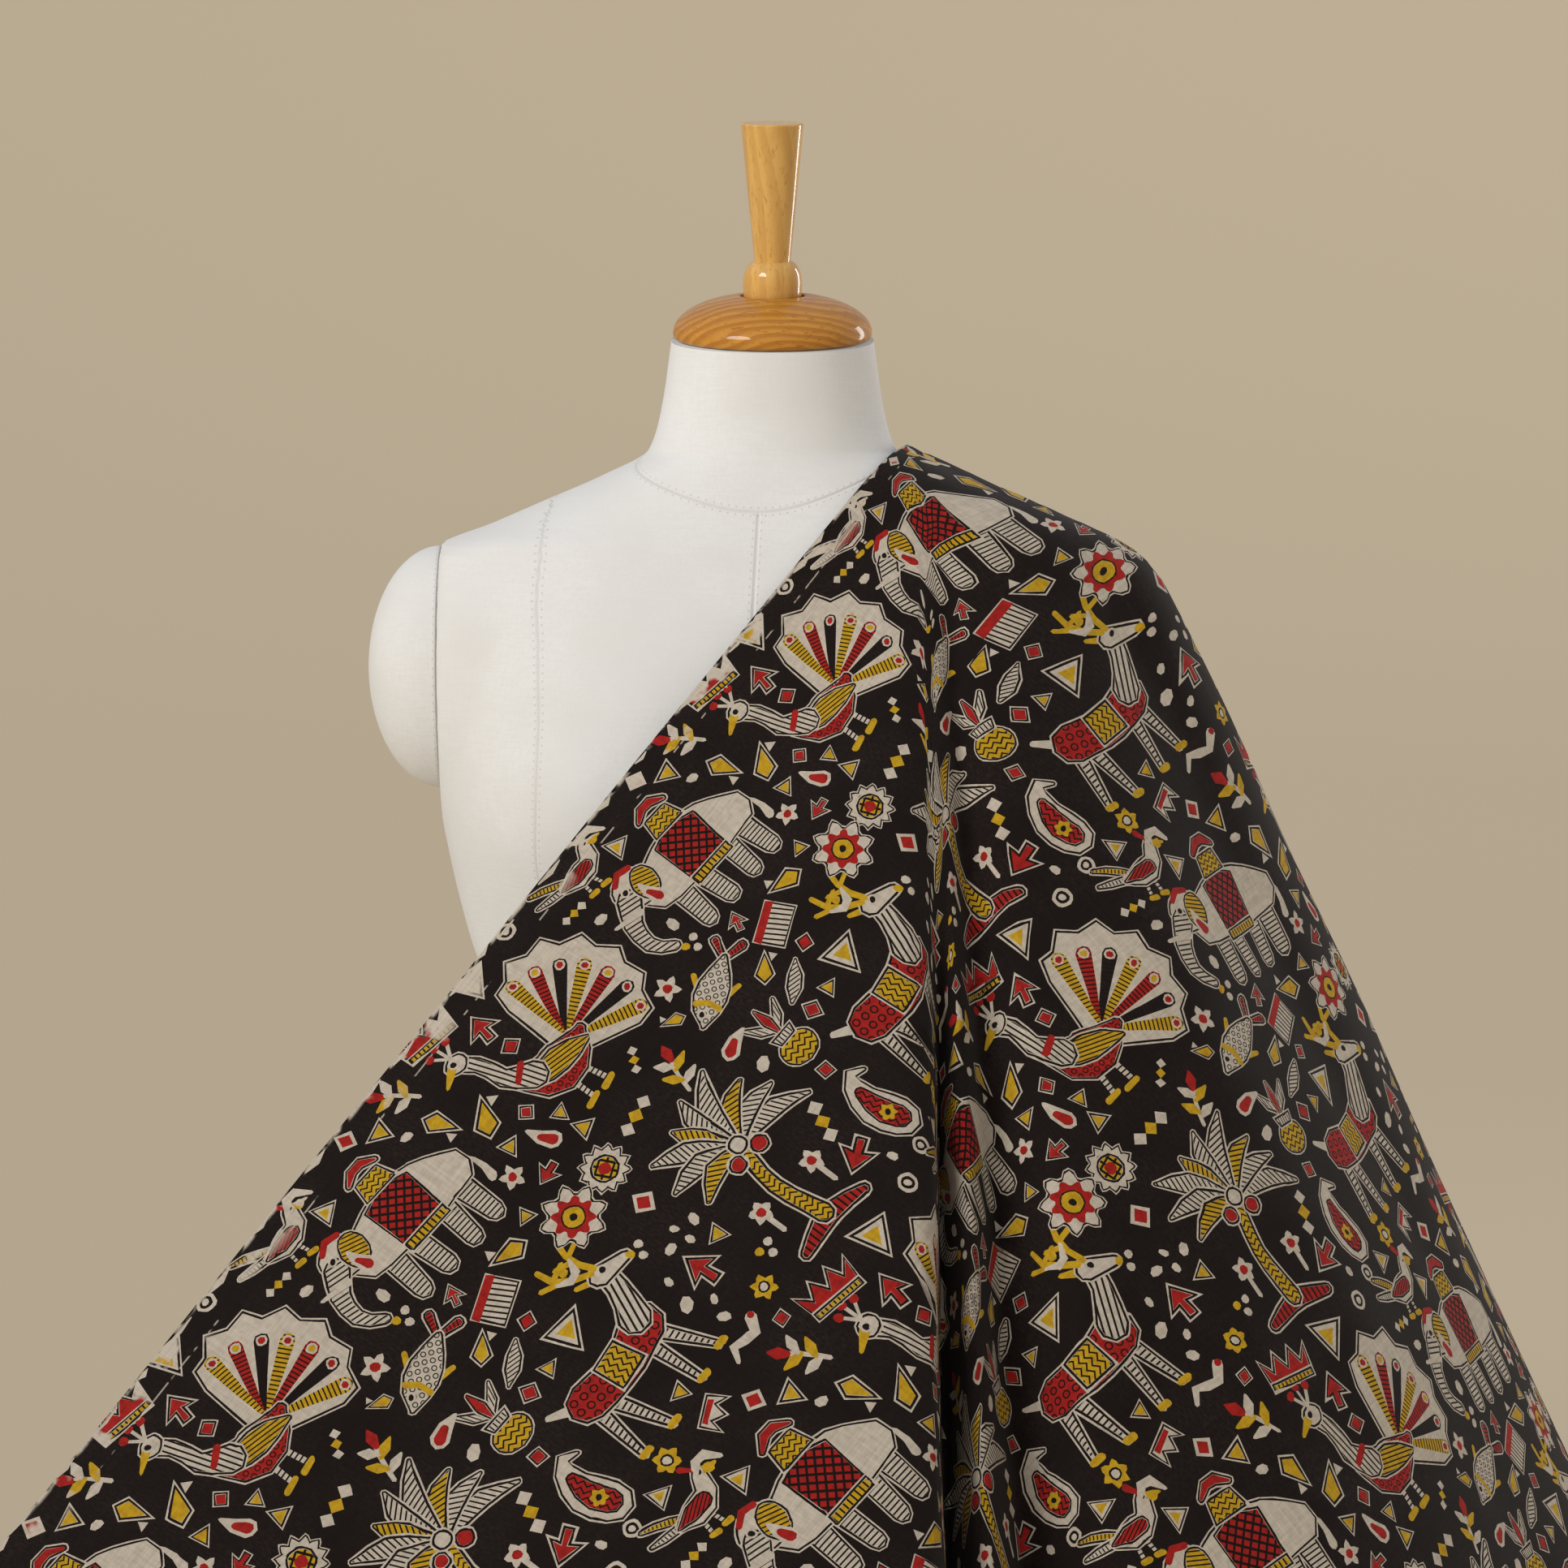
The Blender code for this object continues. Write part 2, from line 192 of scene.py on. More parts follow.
# Drape, in metres and degrees, with the rows of the CAD model
CLOTH_STANDOFF = 0.0036
CAP_STANDOFF = 0.0048
NECK_POINT = (0.0745, -0.002, 0.7425)
FLOOR_LIFT = 0.0010
PUSH_REACH = 0.20
PUSH_STEPS = 41
PUSH_HALVINGS = 9
PUSH_RISE = 0.25
TOE_STEPS = (0.25, 0.50, 0.75, 1.00)
SMOOTHING_PASSES = 3
RAY_SAMPLES = 49
CROWDING = 1.5
RAY_STATIONS = 121
RAYS_PER_ROW = 16
ANGLE_RADIUS = 0.60
DRAPE_ROWS = (
    # azimuth_degrees from the front and distance of the floor point, lean_degrees, toe
    (-54.3, 0.768, 0.0, 0.040),      # front selvage
    (-31.7, 0.606, 0.0, 0.045),      # taut cloth across the chest
    (-1.4, 0.560, 2.0, 0.045),       # crest of the first fold
    (0.6, 0.543, 4.0, 0.040),        # turned edge of the crest
    (1.9, 0.415, 8.0, 0.030),        # first valley
    (4.4, 0.498, 12.0, 0.040),       # second ridge
    (9.2, 0.418, 16.0, 0.030),       # second valley
    (15.5, 0.480, 24.0, 0.040),      # start of the broad cloth
    (32.0, 0.482, 42.0, 0.040),      # broad cloth, front
    (55.0, 0.470, 62.0, 0.040),      # broad cloth, side
    (84.0, 0.454, 86.0, 0.040),      # outline on the right
    (107.0, 0.418, 108.0, 0.035),    # side towards the back
    (115.0, 0.275, 122.0, 0.030),    # first valley of the back
    (131.0, 0.420, 135.0, 0.035),    # first ridge of the back
    (141.0, 0.225, 150.0, 0.030),    # second valley of the back
    (159.0, 0.390, 165.0, 0.035),    # second ridge of the back
    (171.0, 0.210, 174.0, 0.030),    # third valley of the back
    (191.0, 0.340, 180.0, 0.035),    # back selvage
)

# Near the neck the first fold lies open, and the cloth beside it gives way
FOLD_ROWS = (2, 5)        # rows of the table at the fold's two sides
EASED_ROW = 9             # row up to which the cloth gives way
FOLD_START = 0.25         # distance from the neck up to which the fold lies open
FOLD_GROWTH = 0.20        # further distance over which it grows to its full depth

# Soft troughs and ridges of the cloth, in millimetres on the flat cloth. Along the selvage is
# down from the neck point, across is in from the selvage.
CREASES = (
    # from_along, from_across, to_along, to_across, half_width, height
    (150.0, 20.0, 620.0, 60.0, 34.0, 1.6),
    (260.0, 110.0, 800.0, 330.0, 30.0, -1.8),
    (330.0, 60.0, 900.0, 150.0, 40.0, 1.4),
    (470.0, 260.0, 860.0, 560.0, 26.0, 1.5),
    (120.0, 190.0, 330.0, 620.0, 22.0, -3.0),
    (90.0, 210.0, 180.0, 640.0, 26.0, 2.6),
    (40.0, 180.0, 60.0, 700.0, 24.0, -2.6),
    (-20.0, 160.0, -60.0, 640.0, 30.0, 2.2),
    (210.0, 420.0, 330.0, 820.0, 36.0, 2.4),
    (100.0, 480.0, 130.0, 900.0, 30.0, -2.4),
    (260.0, 560.0, 120.0, 640.0, 9.0, -0.9),
    (180.0, 330.0, 60.0, 380.0, 8.0, -0.9),
    (340.0, 380.0, 560.0, 330.0, 7.0, 0.7),
    (560.0, 120.0, 600.0, 520.0, 7.0, -0.6),
    (300.0, 20.0, 320.0, 300.0, 7.0, 0.5),
)
CREASE_ENDS = 4.0         # a crease fades out over one part in four at each end
CREASE_SWAY = 0.12        # share of its half width by which it winds
CREASE_FLOOR = 0.03       # creases fade below this height, in metres

# Long low waves over the whole cloth, in millimetres: a radian's length along and across, the
# start in radians and the height
WAVES = (
    (61.0, 93.0, 0.0, 0.60),
    (47.0, -38.0, 1.3, 0.60),
    (110.0, 29.0, 0.6, 0.42),
)
WAVES_START = 100.0
WAVES_GROWTH = 250.0

# Stage, in metres, with linear colours
BACKDROP_SIDES = 180
FLOOR_RINGS = 30
RIM_RINGS = 24
FLOOR_DROP = 0.0005
SUN_COLOR = (1.0, 0.980, 0.950)
SKY_COLOR = (0.965, 0.990, 1.040, 1.0)
EDGE_LIGHT_SIZE = (0.40, 1.40)
SENSOR_WIDTH = 36.0

# Steps of the flat print, in millimetres
GRID_STEP = 10.5
OUTLINE_STEP = 8.0
SPINE_STEP = 7.0
MERGE_DISTANCE = 0.40
CUT_WOBBLE = 0.22
UNLINED_GROW = 0.35       # how far a shape without a drawn line grows
SHORT_LIMB = 30.0         # a straight limb below this length has no middle point
LEAST_HALF_WIDTH = 0.05
ROUND_END_FROM = 1.2      # half width from which a limb's ends are round
ROUND_END_TURNS = (-45.0, 0.0, 45.0)
MITRE_LEAST = 0.45        # smallest cosine that a plate's mitre is divided by
GRID_MARGIN = 0.4         # grid points keep this share of a step from the hem
LEAST_TRIANGLE = 1e-4     # twice the area of the smallest triangle that is kept


def smooth_step(value):
    """Rises from 0 at 0 to 1 at 1, level at both."""
    value = np.clip(value, 0.0, 1.0)
    return value ** 2 * (3.0 - 2.0 * value)


def running_total(steps):
    """Zero, and the sum of the steps up to each of them."""
    return np.concatenate(((0,), np.cumsum(steps)))


def travelled(points):
    """Distance along a line of points, from the first to each of them."""
    return running_total(np.linalg.norm(np.diff(points, axis=0), axis=1))


def cubic_between(key, values, slope, at):
    """On each span between two keys, the cubic that has the given values and slopes there."""
    place = np.clip(np.searchsorted(key, at, side="right") - 1, 0, len(key) - 2)
    step = (key[place + 1] - key[place])[..., None]
    t = np.clip((at - key[place])[..., None] / step, 0.0, 1.0)
    start = (1.0 + 2.0 * t) * (1.0 - t) ** 2 * values[place]
    start_slope = t * (1.0 - t) ** 2 * step * slope[place]
    end = t ** 2 * (3.0 - 2.0 * t) * values[place + 1]
    end_slope = t ** 2 * (t - 1.0) * step * slope[place + 1]
    return start + start_slope + end + end_slope


def smooth_through(rows, at):
    """A curve through rows of (key, values...): on each span, a cubic that starts and ends with
    the harmonic mean of the slopes on either side, and level at a turning row."""
    table = np.array(rows, dtype=float)
    key = table[:, 0]
    values = table[:, 1:]
    rise = np.diff(values, axis=0) / np.diff(key)[:, None]
    before = np.vstack((rise[:1], rise))
    after = np.vstack((rise, rise[-1:]))
    product = before * after
    total = np.where(np.abs(before + after) < 1e-12, 1.0, before + after)
    slope = np.where(product > 0.0, 2.0 * product / total, 0.0)
    return cubic_between(key, values, slope, at)


def curve_through(keyed, at):
    """A curve through rows of (key, values...) with each row's slope taken from its neighbours."""
    key = keyed[:, 0]
    values = keyed[:, 1:]
    if len(key) == 2:
        slope = np.diff(values, axis=0)[[0, 0]] / (key[1] - key[0])
    else:
        slope = np.gradient(values, key, axis=0)
    return cubic_between(key, values, slope, at)


def form_radius(height, angle):
    """Radius of the torso at a height and an angle from +X: a squared ellipse, with the bust
    added as two soft hills and the armhole sides cut flat."""
    section = smooth_through(FORM_SECTIONS, height)
    half_width = section[..., 0]
    depth = np.where(np.sin(angle) < 0.0, section[..., 1], section[..., 2])
    across = (np.abs(np.cos(angle)) / half_width) ** FORM_SQUARENESS
    along = (np.abs(np.sin(angle)) / depth) ** FORM_SQUARENESS
    radius = (across + along) ** (-1.0 / FORM_SQUARENESS)
    from_front = np.arctan2(np.cos(angle), -np.sin(angle))
    rise = np.exp(-((height - BUST_HEIGHT) / BUST_SPREAD) ** 2)
    rise = rise * np.exp(-((np.abs(from_front) - BUST_ANGLE) / BUST_WIDTH) ** 2)
    side = ARMHOLE_SIDE / np.maximum(np.abs(np.cos(angle)), 1e-6)
    return np.minimum(radius + BUST_RISE * rise, side)


def inside_form(points):
    """True where a point lies in the torso or in an arm cap, both swollen by the standoff."""
    x = points[..., 0]
    y = points[..., 1]
    z = points[..., 2]
    radius = form_radius(z - CLOTH_STANDOFF, np.arctan2(y, x)) + CLOTH_STANDOFF
    torso = (np.hypot(x, y) <= radius) & (z >= FORM_BOTTOM) & (z <= NECK_TOP)
    outward = (np.abs(x) - ARMHOLE_SIDE) / (CAP_BULGE + CAP_STANDOFF)
    deep = y / (CAP_HALF_DEPTH + CAP_STANDOFF)
    high = (z - CAP_HEIGHT) / (CAP_HALF_HEIGHT + CAP_STANDOFF)
    return torso | ((outward >= 0.0) & (outward ** 2 + deep ** 2 + high ** 2 <= 1.0))


def taut_over(lift, along):
    """The lowest curve without hollows over the lifts: at each place, the highest chord
    between any two lifts on either side of it."""
    first = along[:, None, None]
    here = along[None, :, None]
    last = along[None, None, :]
    span = np.maximum(last - first, 1e-9)
    chord = (lift[:, None, None] * (last - here) + lift[None, None, :] * (here - first)) / span
    valid = (first <= here) & (here <= last) & (last > first)
    return np.where(valid, chord, -1.0).max(axis=(0, 2))


def push_distance(base, push):
    """How far each chord point has to move along its push to leave the form."""
    tries = np.linspace(0.0, PUSH_REACH, PUSH_STEPS)
    spots = base[:, :, None, :] + tries[None, None, :, None] * push[:, None, None, :]
    low = np.where(inside_form(spots), tries, -1.0).max(axis=2)
    hit = low >= 0.0
    high = low + tries[1]
    for _ in range(PUSH_HALVINGS):
        middle = 0.5 * (low + high)
        held = inside_form(base + middle[..., None] * push[:, None, :])
        low = np.where(held, middle, low)
        high = np.where(held, high, middle)
    return np.where(hit, high, 0.0)


def smoothed(values, axis, passes):
    """Each value becomes a quarter, a half and a quarter of itself and its neighbours along one
    axis, with both ends kept, as many times as there are passes."""
    values = np.moveaxis(values, axis, 0).copy()
    for _ in range(passes):
        values[1:-1] = 0.25 * values[:-2] + 0.5 * values[1:-1] + 0.25 * values[2:]
    return np.moveaxis(values, 0, axis)


def unit(vectors):
    """Vectors divided by their own length."""
    return vectors / np.maximum(np.linalg.norm(vectors, axis=-1, keepdims=True), 1e-12)


class Drape:
    """The draped cloth as a map from flat coordinates to space.

    Flat coordinates are metres along the front selvage and across from it, both from the neck
    point. Their polar angle picks a ray and their distance a place along that ray."""

    def __init__(self):
        grid, lengths = self.rays()
        steps = self.angle_steps(grid, lengths, ANGLE_RADIUS)
        self.angles = running_total(steps)
        self.near_angles = self.eased(steps, self.angle_steps(grid, lengths, FOLD_START))
        self.lengths = lengths
        self.grid = self.creased(grid)

    @staticmethod
    def angle_steps(grid, lengths, radius):
        """Flat angle between neighbouring rays: twice the arcsine of half their distance, at one
        radius, over the radius."""
        travel = np.linspace(0.0, 1.0, RAY_STATIONS)
        at_radius = np.array([
            [np.interp(radius / length, travel, ray[:, axis]) for axis in range(3)]
            for ray, length in zip(grid, lengths)
        ])
        arc = np.linalg.norm(np.diff(at_radius, axis=0), axis=1)
        return 2.0 * np.arcsin(arc / (2.0 * radius))

    @staticmethod
    def eased(steps, near_steps):
        """Flat angle of each ray near the neck: the open fold takes less of it there, and the
        cloth on both sides takes what it leaves, in proportion."""
        first, last = (RAYS_PER_ROW * row for row in FOLD_ROWS)
        beside = np.arange(len(steps)) < RAYS_PER_ROW * EASED_ROW
        beside[first:last] = False
        left_over = steps[first:last].sum() - near_steps[first:last].sum()
        eased = np.where(beside, steps * (1.0 + left_over / steps[beside].sum()), steps)
        eased[first:last] = near_steps[first:last]
        return running_total(eased)

    @staticmethod
    def opened(grid, lengths):
        """The grid with the first fold straightened near the neck: its rays move on to the chord
        between its sides, by a smooth step of the distance from the neck."""
        first, last = (RAYS_PER_ROW * row for row in FOLD_ROWS)
        share = np.linspace(0.0, 1.0, last - first + 1)[:, None, None]
        chord = grid[first] + share * (grid[last] - grid[first])
        reach = lengths[first:last + 1, None] * np.linspace(0.0, 1.0, RAY_STATIONS)
        folded = smooth_step((reach - FOLD_START) / FOLD_GROWTH)[..., None]
        grid = grid.copy()
        grid[first:last + 1] = chord + folded * (grid[first:last + 1] - chord)
        return grid

    def rays(self):
        """One row of points for each ray, evenly spaced along it, and the rays' lengths. A ray
        lies in the plane of its chord and its push, taut over the form, with a flat toe."""
        table = np.array(DRAPE_ROWS)
        keyed = np.column_stack((np.arange(len(table)), table))
        at = np.linspace(0.0, len(table) - 1.0, (len(table) - 1) * RAYS_PER_ROW + 1)
        azimuth, distance, lean, toe = smooth_through(keyed, at).T
        azimuth = np.radians(azimuth)
        lean = np.radians(lean)
        neck = np.array(NECK_POINT)
        heading = np.column_stack((np.sin(azimuth), -np.cos(azimuth), np.zeros(len(at))))
        floor = neck + distance[:, None] * heading
        floor[:, 2] = FLOOR_LIFT
        chord = floor - neck
        direction = unit(chord)
        push = np.column_stack((np.sin(lean), -np.cos(lean), np.full(len(at), PUSH_RISE)))
        push -= (push * direction).sum(axis=1)[:, None] * direction
        push = unit(push)
        along = np.linspace(0.0, 1.0, RAY_SAMPLES) ** CROWDING
        base = neck + along[None, :, None] * chord[:, None, :]
        lift = push_distance(base, push)
        lift[:, 0] = 0.0
        height = np.array([taut_over(row, along) for row in lift])
        line = base + height[..., None] * push[:, None, :]
        toe_steps = np.array(TOE_STEPS)[None, :, None]
        toes = floor[:, None, :] + toe_steps * (toe[:, None] * heading)[:, None, :]
        line = np.concatenate((line, toes), axis=1)
        grid = []
        lengths = []
        for points in line:
            travel = travelled(points)
            wanted = np.linspace(0.0, travel[-1], RAY_STATIONS)
            grid.append(np.column_stack([np.interp(wanted, travel, points[:, axis])
                                         for axis in range(3)]))
            lengths.append(travel[-1])
        lengths = np.array(lengths)
        grid = self.opened(smoothed(np.array(grid), 1, SMOOTHING_PASSES), lengths)
        return smoothed(grid, 0, SMOOTHING_PASSES), lengths

    def flat_grid(self):
        """Flat coordinates of the grid's points, in metres."""
        reach = self.lengths[:, None] * np.linspace(0.0, 1.0, RAY_STATIONS)[None, :]
        return np.stack((reach * np.cos(self.angles)[:, None],
                         reach * np.sin(self.angles)[:, None]), axis=-1)

    def creased(self, grid):
        """The grid moved along its normals: each crease is a hill or a hollow whose section is a
        bell curve and which fades out at both ends, and a few long waves are added to them."""
        flat = self.flat_grid() * 1000.0
        rise = np.zeros(grid.shape[:2])
        for from_along, from_across, to_along, to_across, half_width, height in CREASES:
            start = np.array((from_along, from_across))
            run = np.array((to_along, to_across)) - start
            length = np.linalg.norm(run)
            offset = flat - start
            place = (offset @ run) / length ** 2
            beside = (offset[..., 0] * run[1] - offset[..., 1] * run[0]) / length
            bend = beside + CREASE_SWAY * half_width * np.sin(5.0 * place + 0.02 * length)
            fade = smooth_step(np.clip(place * CREASE_ENDS, 0.0, 1.0)
                               * np.clip((1.0 - place) * CREASE_ENDS, 0.0, 1.0))
            rise += 0.001 * height * fade * np.exp(-(bend / half_width) ** 2)
        away = np.linalg.norm(flat, axis=-1)
        ease = np.clip((away - WAVES_START) / WAVES_GROWTH, 0.0, 1.0)
        for length_along, length_across, start, height in WAVES:
            wave = np.sin(flat[..., 0] / length_along + flat[..., 1] / length_across + start)
            rise += 0.001 * height * wave * ease
        rise *= np.clip(grid[..., 2] / CREASE_FLOOR, 0.0, 1.0)
        moved = grid + rise[..., None] * self.normals(grid)
        moved[..., 2] = np.maximum(moved[..., 2], FLOOR_LIFT)
        return moved

    @staticmethod
    def normals(grid):
        """Outward unit normals of the grid, from the cross product of its two directions."""
        across = np.gradient(grid, axis=0)
        down = np.gradient(grid, axis=1)
        normals = unit(np.cross(down, across))
        normals[:, 0] = unit(normals[:, 1].mean(axis=0))
        return normals

    def places(self, flat):
        """Ray number and station number, both with fractions, of flat points in metres."""
        angle = np.arctan2(flat[:, 1], flat[:, 0])
        angle = np.clip(angle, 0.0, self.angles[-1])
        numbers = np.arange(len(self.angles))
        away = np.hypot(flat[:, 0], flat[:, 1])
        near = np.interp(angle, self.near_angles, numbers)
        far = np.interp(angle, self.angles, numbers)
        ray = near + smooth_step((away - FOLD_START) / FOLD_GROWTH) * (far - near)
        length = np.interp(ray, numbers, self.lengths)
        reach = np.clip(away / length, 0.0, 1.0)
        return ray, reach * (RAY_STATIONS - 1)

    @staticmethod
    def blend_of_four(t):
        """Weights of four neighbours in a cubic that passes through the middle two."""
        return np.stack((
            0.5 * (-t ** 3 + 2.0 * t ** 2 - t),
            0.5 * (3.0 * t ** 3 - 5.0 * t ** 2 + 2.0),
            0.5 * (-3.0 * t ** 3 + 4.0 * t ** 2 + t),
            0.5 * (t ** 3 - t ** 2),
        ), axis=-1)

    def sampled(self, grid, ray, station):
        """Values of a grid between its points, by a cubic in each direction."""
        low_ray = np.clip(np.floor(ray).astype(int), 0, grid.shape[0] - 2)
        low_station = np.clip(np.floor(station).astype(int), 0, grid.shape[1] - 2)
        ray_weights = self.blend_of_four(ray - low_ray)
        station_weights = self.blend_of_four(station - low_station)
        total = 0.0
        for i in range(4):
            rows = np.clip(low_ray + i - 1, 0, grid.shape[0] - 1)
            for j in range(4):
                columns = np.clip(low_station + j - 1, 0, grid.shape[1] - 1)
                weight = ray_weights[:, i] * station_weights[:, j]
                total = total + weight[:, None] * grid[rows, columns]
        return total

    def hem(self, step):
        """Flat outline of the cloth in metres: out along the front selvage, round the hem and
        back along the far edge, with points a step apart."""
        side = np.arange(0.0, self.lengths[0], step)
        front = np.column_stack((side, np.zeros(len(side))))
        arc = running_total(np.diff(self.angles) * self.lengths[1:])
        ray = np.interp(np.arange(0.0, arc[-1], step), arc, np.arange(len(arc)))
        angle = np.interp(ray, np.arange(len(arc)), self.angles)
        length = np.interp(ray, np.arange(len(arc)), self.lengths)
        edge = np.column_stack((length * np.cos(angle), length * np.sin(angle)))
        last = self.angles[-1]
        back = np.arange(self.lengths[-1], 0.5 * step, -step)
        end = np.column_stack((back * math.cos(last), back * math.sin(last)))
        return np.vstack((front, edge, end))

    def area(self):
        """Flat area in square metres: the sum of thin sectors."""
        return float((0.5 * self.lengths[1:] ** 2 * np.diff(self.angles)).sum())


# Printed shapes, in millimetres. A shape gives its outline grown by any amount, its ink, whether
# it has a drawn line inside its cream rim, and its line filling as (kind, pitch, turn in degrees).

def limb(ink, rows, fill=UNFILLED, line=True):
    """A shape along a smooth spine. Rows are (x, y, half_width): the outline runs the half width
    to the left of the spine, round the end, back on the right and round the start."""
    rows = np.array(rows, dtype=float)
    travel = travelled(rows[:, :2])
    keyed = np.column_stack((travel, rows))
    count = max(len(rows), int(travel[-1] / SPINE_STEP) + 1)
    if len(rows) == 2:
        count = 2 if travel[-1] < SHORT_LIMB else 3
    spine = curve_through(keyed, np.linspace(0.0, travel[-1], count))
    return {"kind": "limb", "spine": spine, "ink": ink, "fill": fill, "line": line}


def blob(ink, x, y, radius_x, radius_y=None, turn=0.0, petals=0, depth=0.0,
         fill=UNFILLED, line=True, points=0):
    """A closed shape round a centre: an ellipse whose radius dips between its petals. Without a
    number of points, a larger one gets more."""
    return {"kind": "blob", "centre": (x, y), "radii": (radius_x, radius_y or radius_x),
            "turn": math.radians(turn), "petals": petals, "depth": depth, "ink": ink,
            "fill": fill, "line": line, "points": points}


def spot(ink, x, y, radius, points):
    """A round blob without a drawn line."""
    return blob(ink, x, y, radius, line=False, points=points)


def plate(ink, corners, fill=UNFILLED, line=True):
    """A shape with straight sides between its corners, listed anticlockwise."""
    return {"kind": "plate", "corners": np.array(corners, dtype=float), "ink": ink,
            "fill": fill, "line": line}


def limb_outline(shape, grow):
    """The spine's two sides, joined by ends that are round where the limb is wide enough."""
    spine = shape["spine"]
    tangent = unit(np.gradient(spine[:, :2], axis=0))
    normal = np.column_stack((-tangent[:, 1], tangent[:, 0]))
    half = np.maximum(spine[:, 2:3] + grow, LEAST_HALF_WIDTH)
    ends = []
    for row, way in ((-1, 1.0), (0, -1.0)):
        turns = ROUND_END_TURNS if half[row] > ROUND_END_FROM else (0.0,)
        bow = np.radians(turns)[:, None]
        toward = np.cos(bow) * tangent[row] + np.sin(bow) * normal[row]
        ends.append(spine[row, :2] + way * half[row] * toward)
    left = spine[:, :2] + half * normal
    right = spine[:, :2] - half * normal
    return np.vstack((right, ends[0], left[::-1], ends[1]))


def blob_outline(shape, grow):
    """An ellipse, its radius less by a share of half of one minus the cosine of the petals."""
    petals = shape["petals"]
    count = shape["points"]
    size = max(shape["radii"])
    if not count and petals:
        count = petals * (5 if size > 8.0 else 4)
    if not count:
        count = max(8, int(size * 1.1) + 6)
    angle = np.arange(count) / count * TAU
    ripple = 1.0
    if petals:
        ripple = 1.0 - shape["depth"] * (0.5 - 0.5 * np.cos(petals * angle))
    x = (shape["radii"][0] * ripple + grow) * np.cos(angle)
    y = (shape["radii"][1] * ripple + grow) * np.sin(angle)
    cos_turn = math.cos(shape["turn"])
    sin_turn = math.sin(shape["turn"])
    return np.column_stack((shape["centre"][0] + x * cos_turn - y * sin_turn,
                            shape["centre"][1] + x * sin_turn + y * cos_turn))


def plate_outline(shape, grow):
    """The corners moved out along their mitres."""
    corners = shape["corners"]
    before = unit(corners - np.roll(corners, 1, axis=0))
    after = unit(np.roll(corners, -1, axis=0) - corners)
    out_before = np.column_stack((before[:, 1], -before[:, 0]))
    out_after = np.column_stack((after[:, 1], -after[:, 0]))
    middle = unit(out_before + out_after)
    cosine = np.maximum((middle * out_after).sum(axis=1), MITRE_LEAST)
    return corners + grow * middle / cosine[:, None]


OUTLINES = {"limb": limb_outline, "blob": blob_outline, "plate": plate_outline}


def outline(shape, grow):
    """Anticlockwise outline of a shape, grown by some millimetres along its normals."""
    return OUTLINES[shape["kind"]](shape, grow)


def eye(x, y, size=1.4):
    """A cream ring with a black middle."""
    return [spot(CREAM, x, y, size + 1.1, 10), spot(BLACK, x, y, size, 8)]


def legs(ink, rows, foot=0.0):
    """Straight limbs from (x, y, half_width) down to (x, y, half_width), each with a foot."""
    parts = []
    for top_x, top_y, top_half, low_x, low_y, low_half in rows:
        parts.append(limb(ink, [(top_x, top_y, top_half), (low_x, low_y, low_half)],
                          (STRIPES, 2.6, 90.0), top_half > 2.4))
        if foot:
            parts.append(limb(MUSTARD, [(low_x - foot, low_y - 1.0, 1.5),
                                        (low_x + 0.4 * foot, low_y - 0.4, 1.3)], line=False))
    return parts


# Motifs: each is a list of shapes round its own middle, upright, with the topmost shape last

def peacock():
    parts = [plate(CREAM,
                   [(2, -6), (36, -28), (46, -29), (52, -19), (60, -15), (60, -3), (66, 4),
                    (60, 15), (62, 25), (52, 32), (50, 43), (39, 44), (31, 52), (22, 45), (14, 45),
                    (9, 34), (4, 4)])]
    for number in range(7):
        turn = math.radians(-33 + 17.5 * number)
        tip_x = 8 + 43 * math.cos(turn)
        tip_y = 42 * math.sin(turn)
        ink = (MUSTARD, BLACK, RED)[number % 3]
        parts.append(limb(ink, [(13, 4 * math.sin(turn), 0.9), (tip_x, tip_y, 3.6)],
                          (STRIPES, 2.3, math.degrees(turn)), False))
        parts.append(spot(CREAM, tip_x, tip_y, 2.6, 8))
        parts.append(spot((RED, RED, MUSTARD)[number % 3], tip_x, tip_y, 1.6, 6))
    parts += legs(CREAM, [(-6, -14, 1.3, -8, -29, 1.1), (3, -14, 1.3, 4, -30, 1.1)], 5)
    parts.append(limb(RED, [(19, -3, 3), (5, -6, 11.5), (-9, -4, 12.5), (-17, 5, 7)],
                      (RINGS, 4.2, 12)))
    parts.append(limb(MUSTARD, [(-9, -1, 6.5), (4, -4, 7), (17, -9, 1.6)], (STRIPES, 2.2, 70)))
    parts.append(limb(CREAM, [(-13, 3, 7.5), (-22, 15, 5), (-22, 29, 4.2), (-26, 38, 4.4)],
                      (STRIPES, 2.8, 10)))
    parts.append(limb(RED, [(-20, 8, 1.6), (-12, 12, 1.6)], line=False))
    parts.append(blob(CREAM, -27, 41, 6.2, 5.4))
    parts.append(limb(MUSTARD, [(-31, 41, 2.2), (-40, 37, 0.6)], line=False))
    for tip_x, tip_y in ((-31, 55), (-25, 57), (-19, 54)):
        parts.append(limb(CREAM, [(-26, 45, 0.6), (tip_x, tip_y, 0.6)], line=False))
        parts.append(spot(RED, tip_x, tip_y, 2.2, 8))
    return parts + eye(-28, 42)


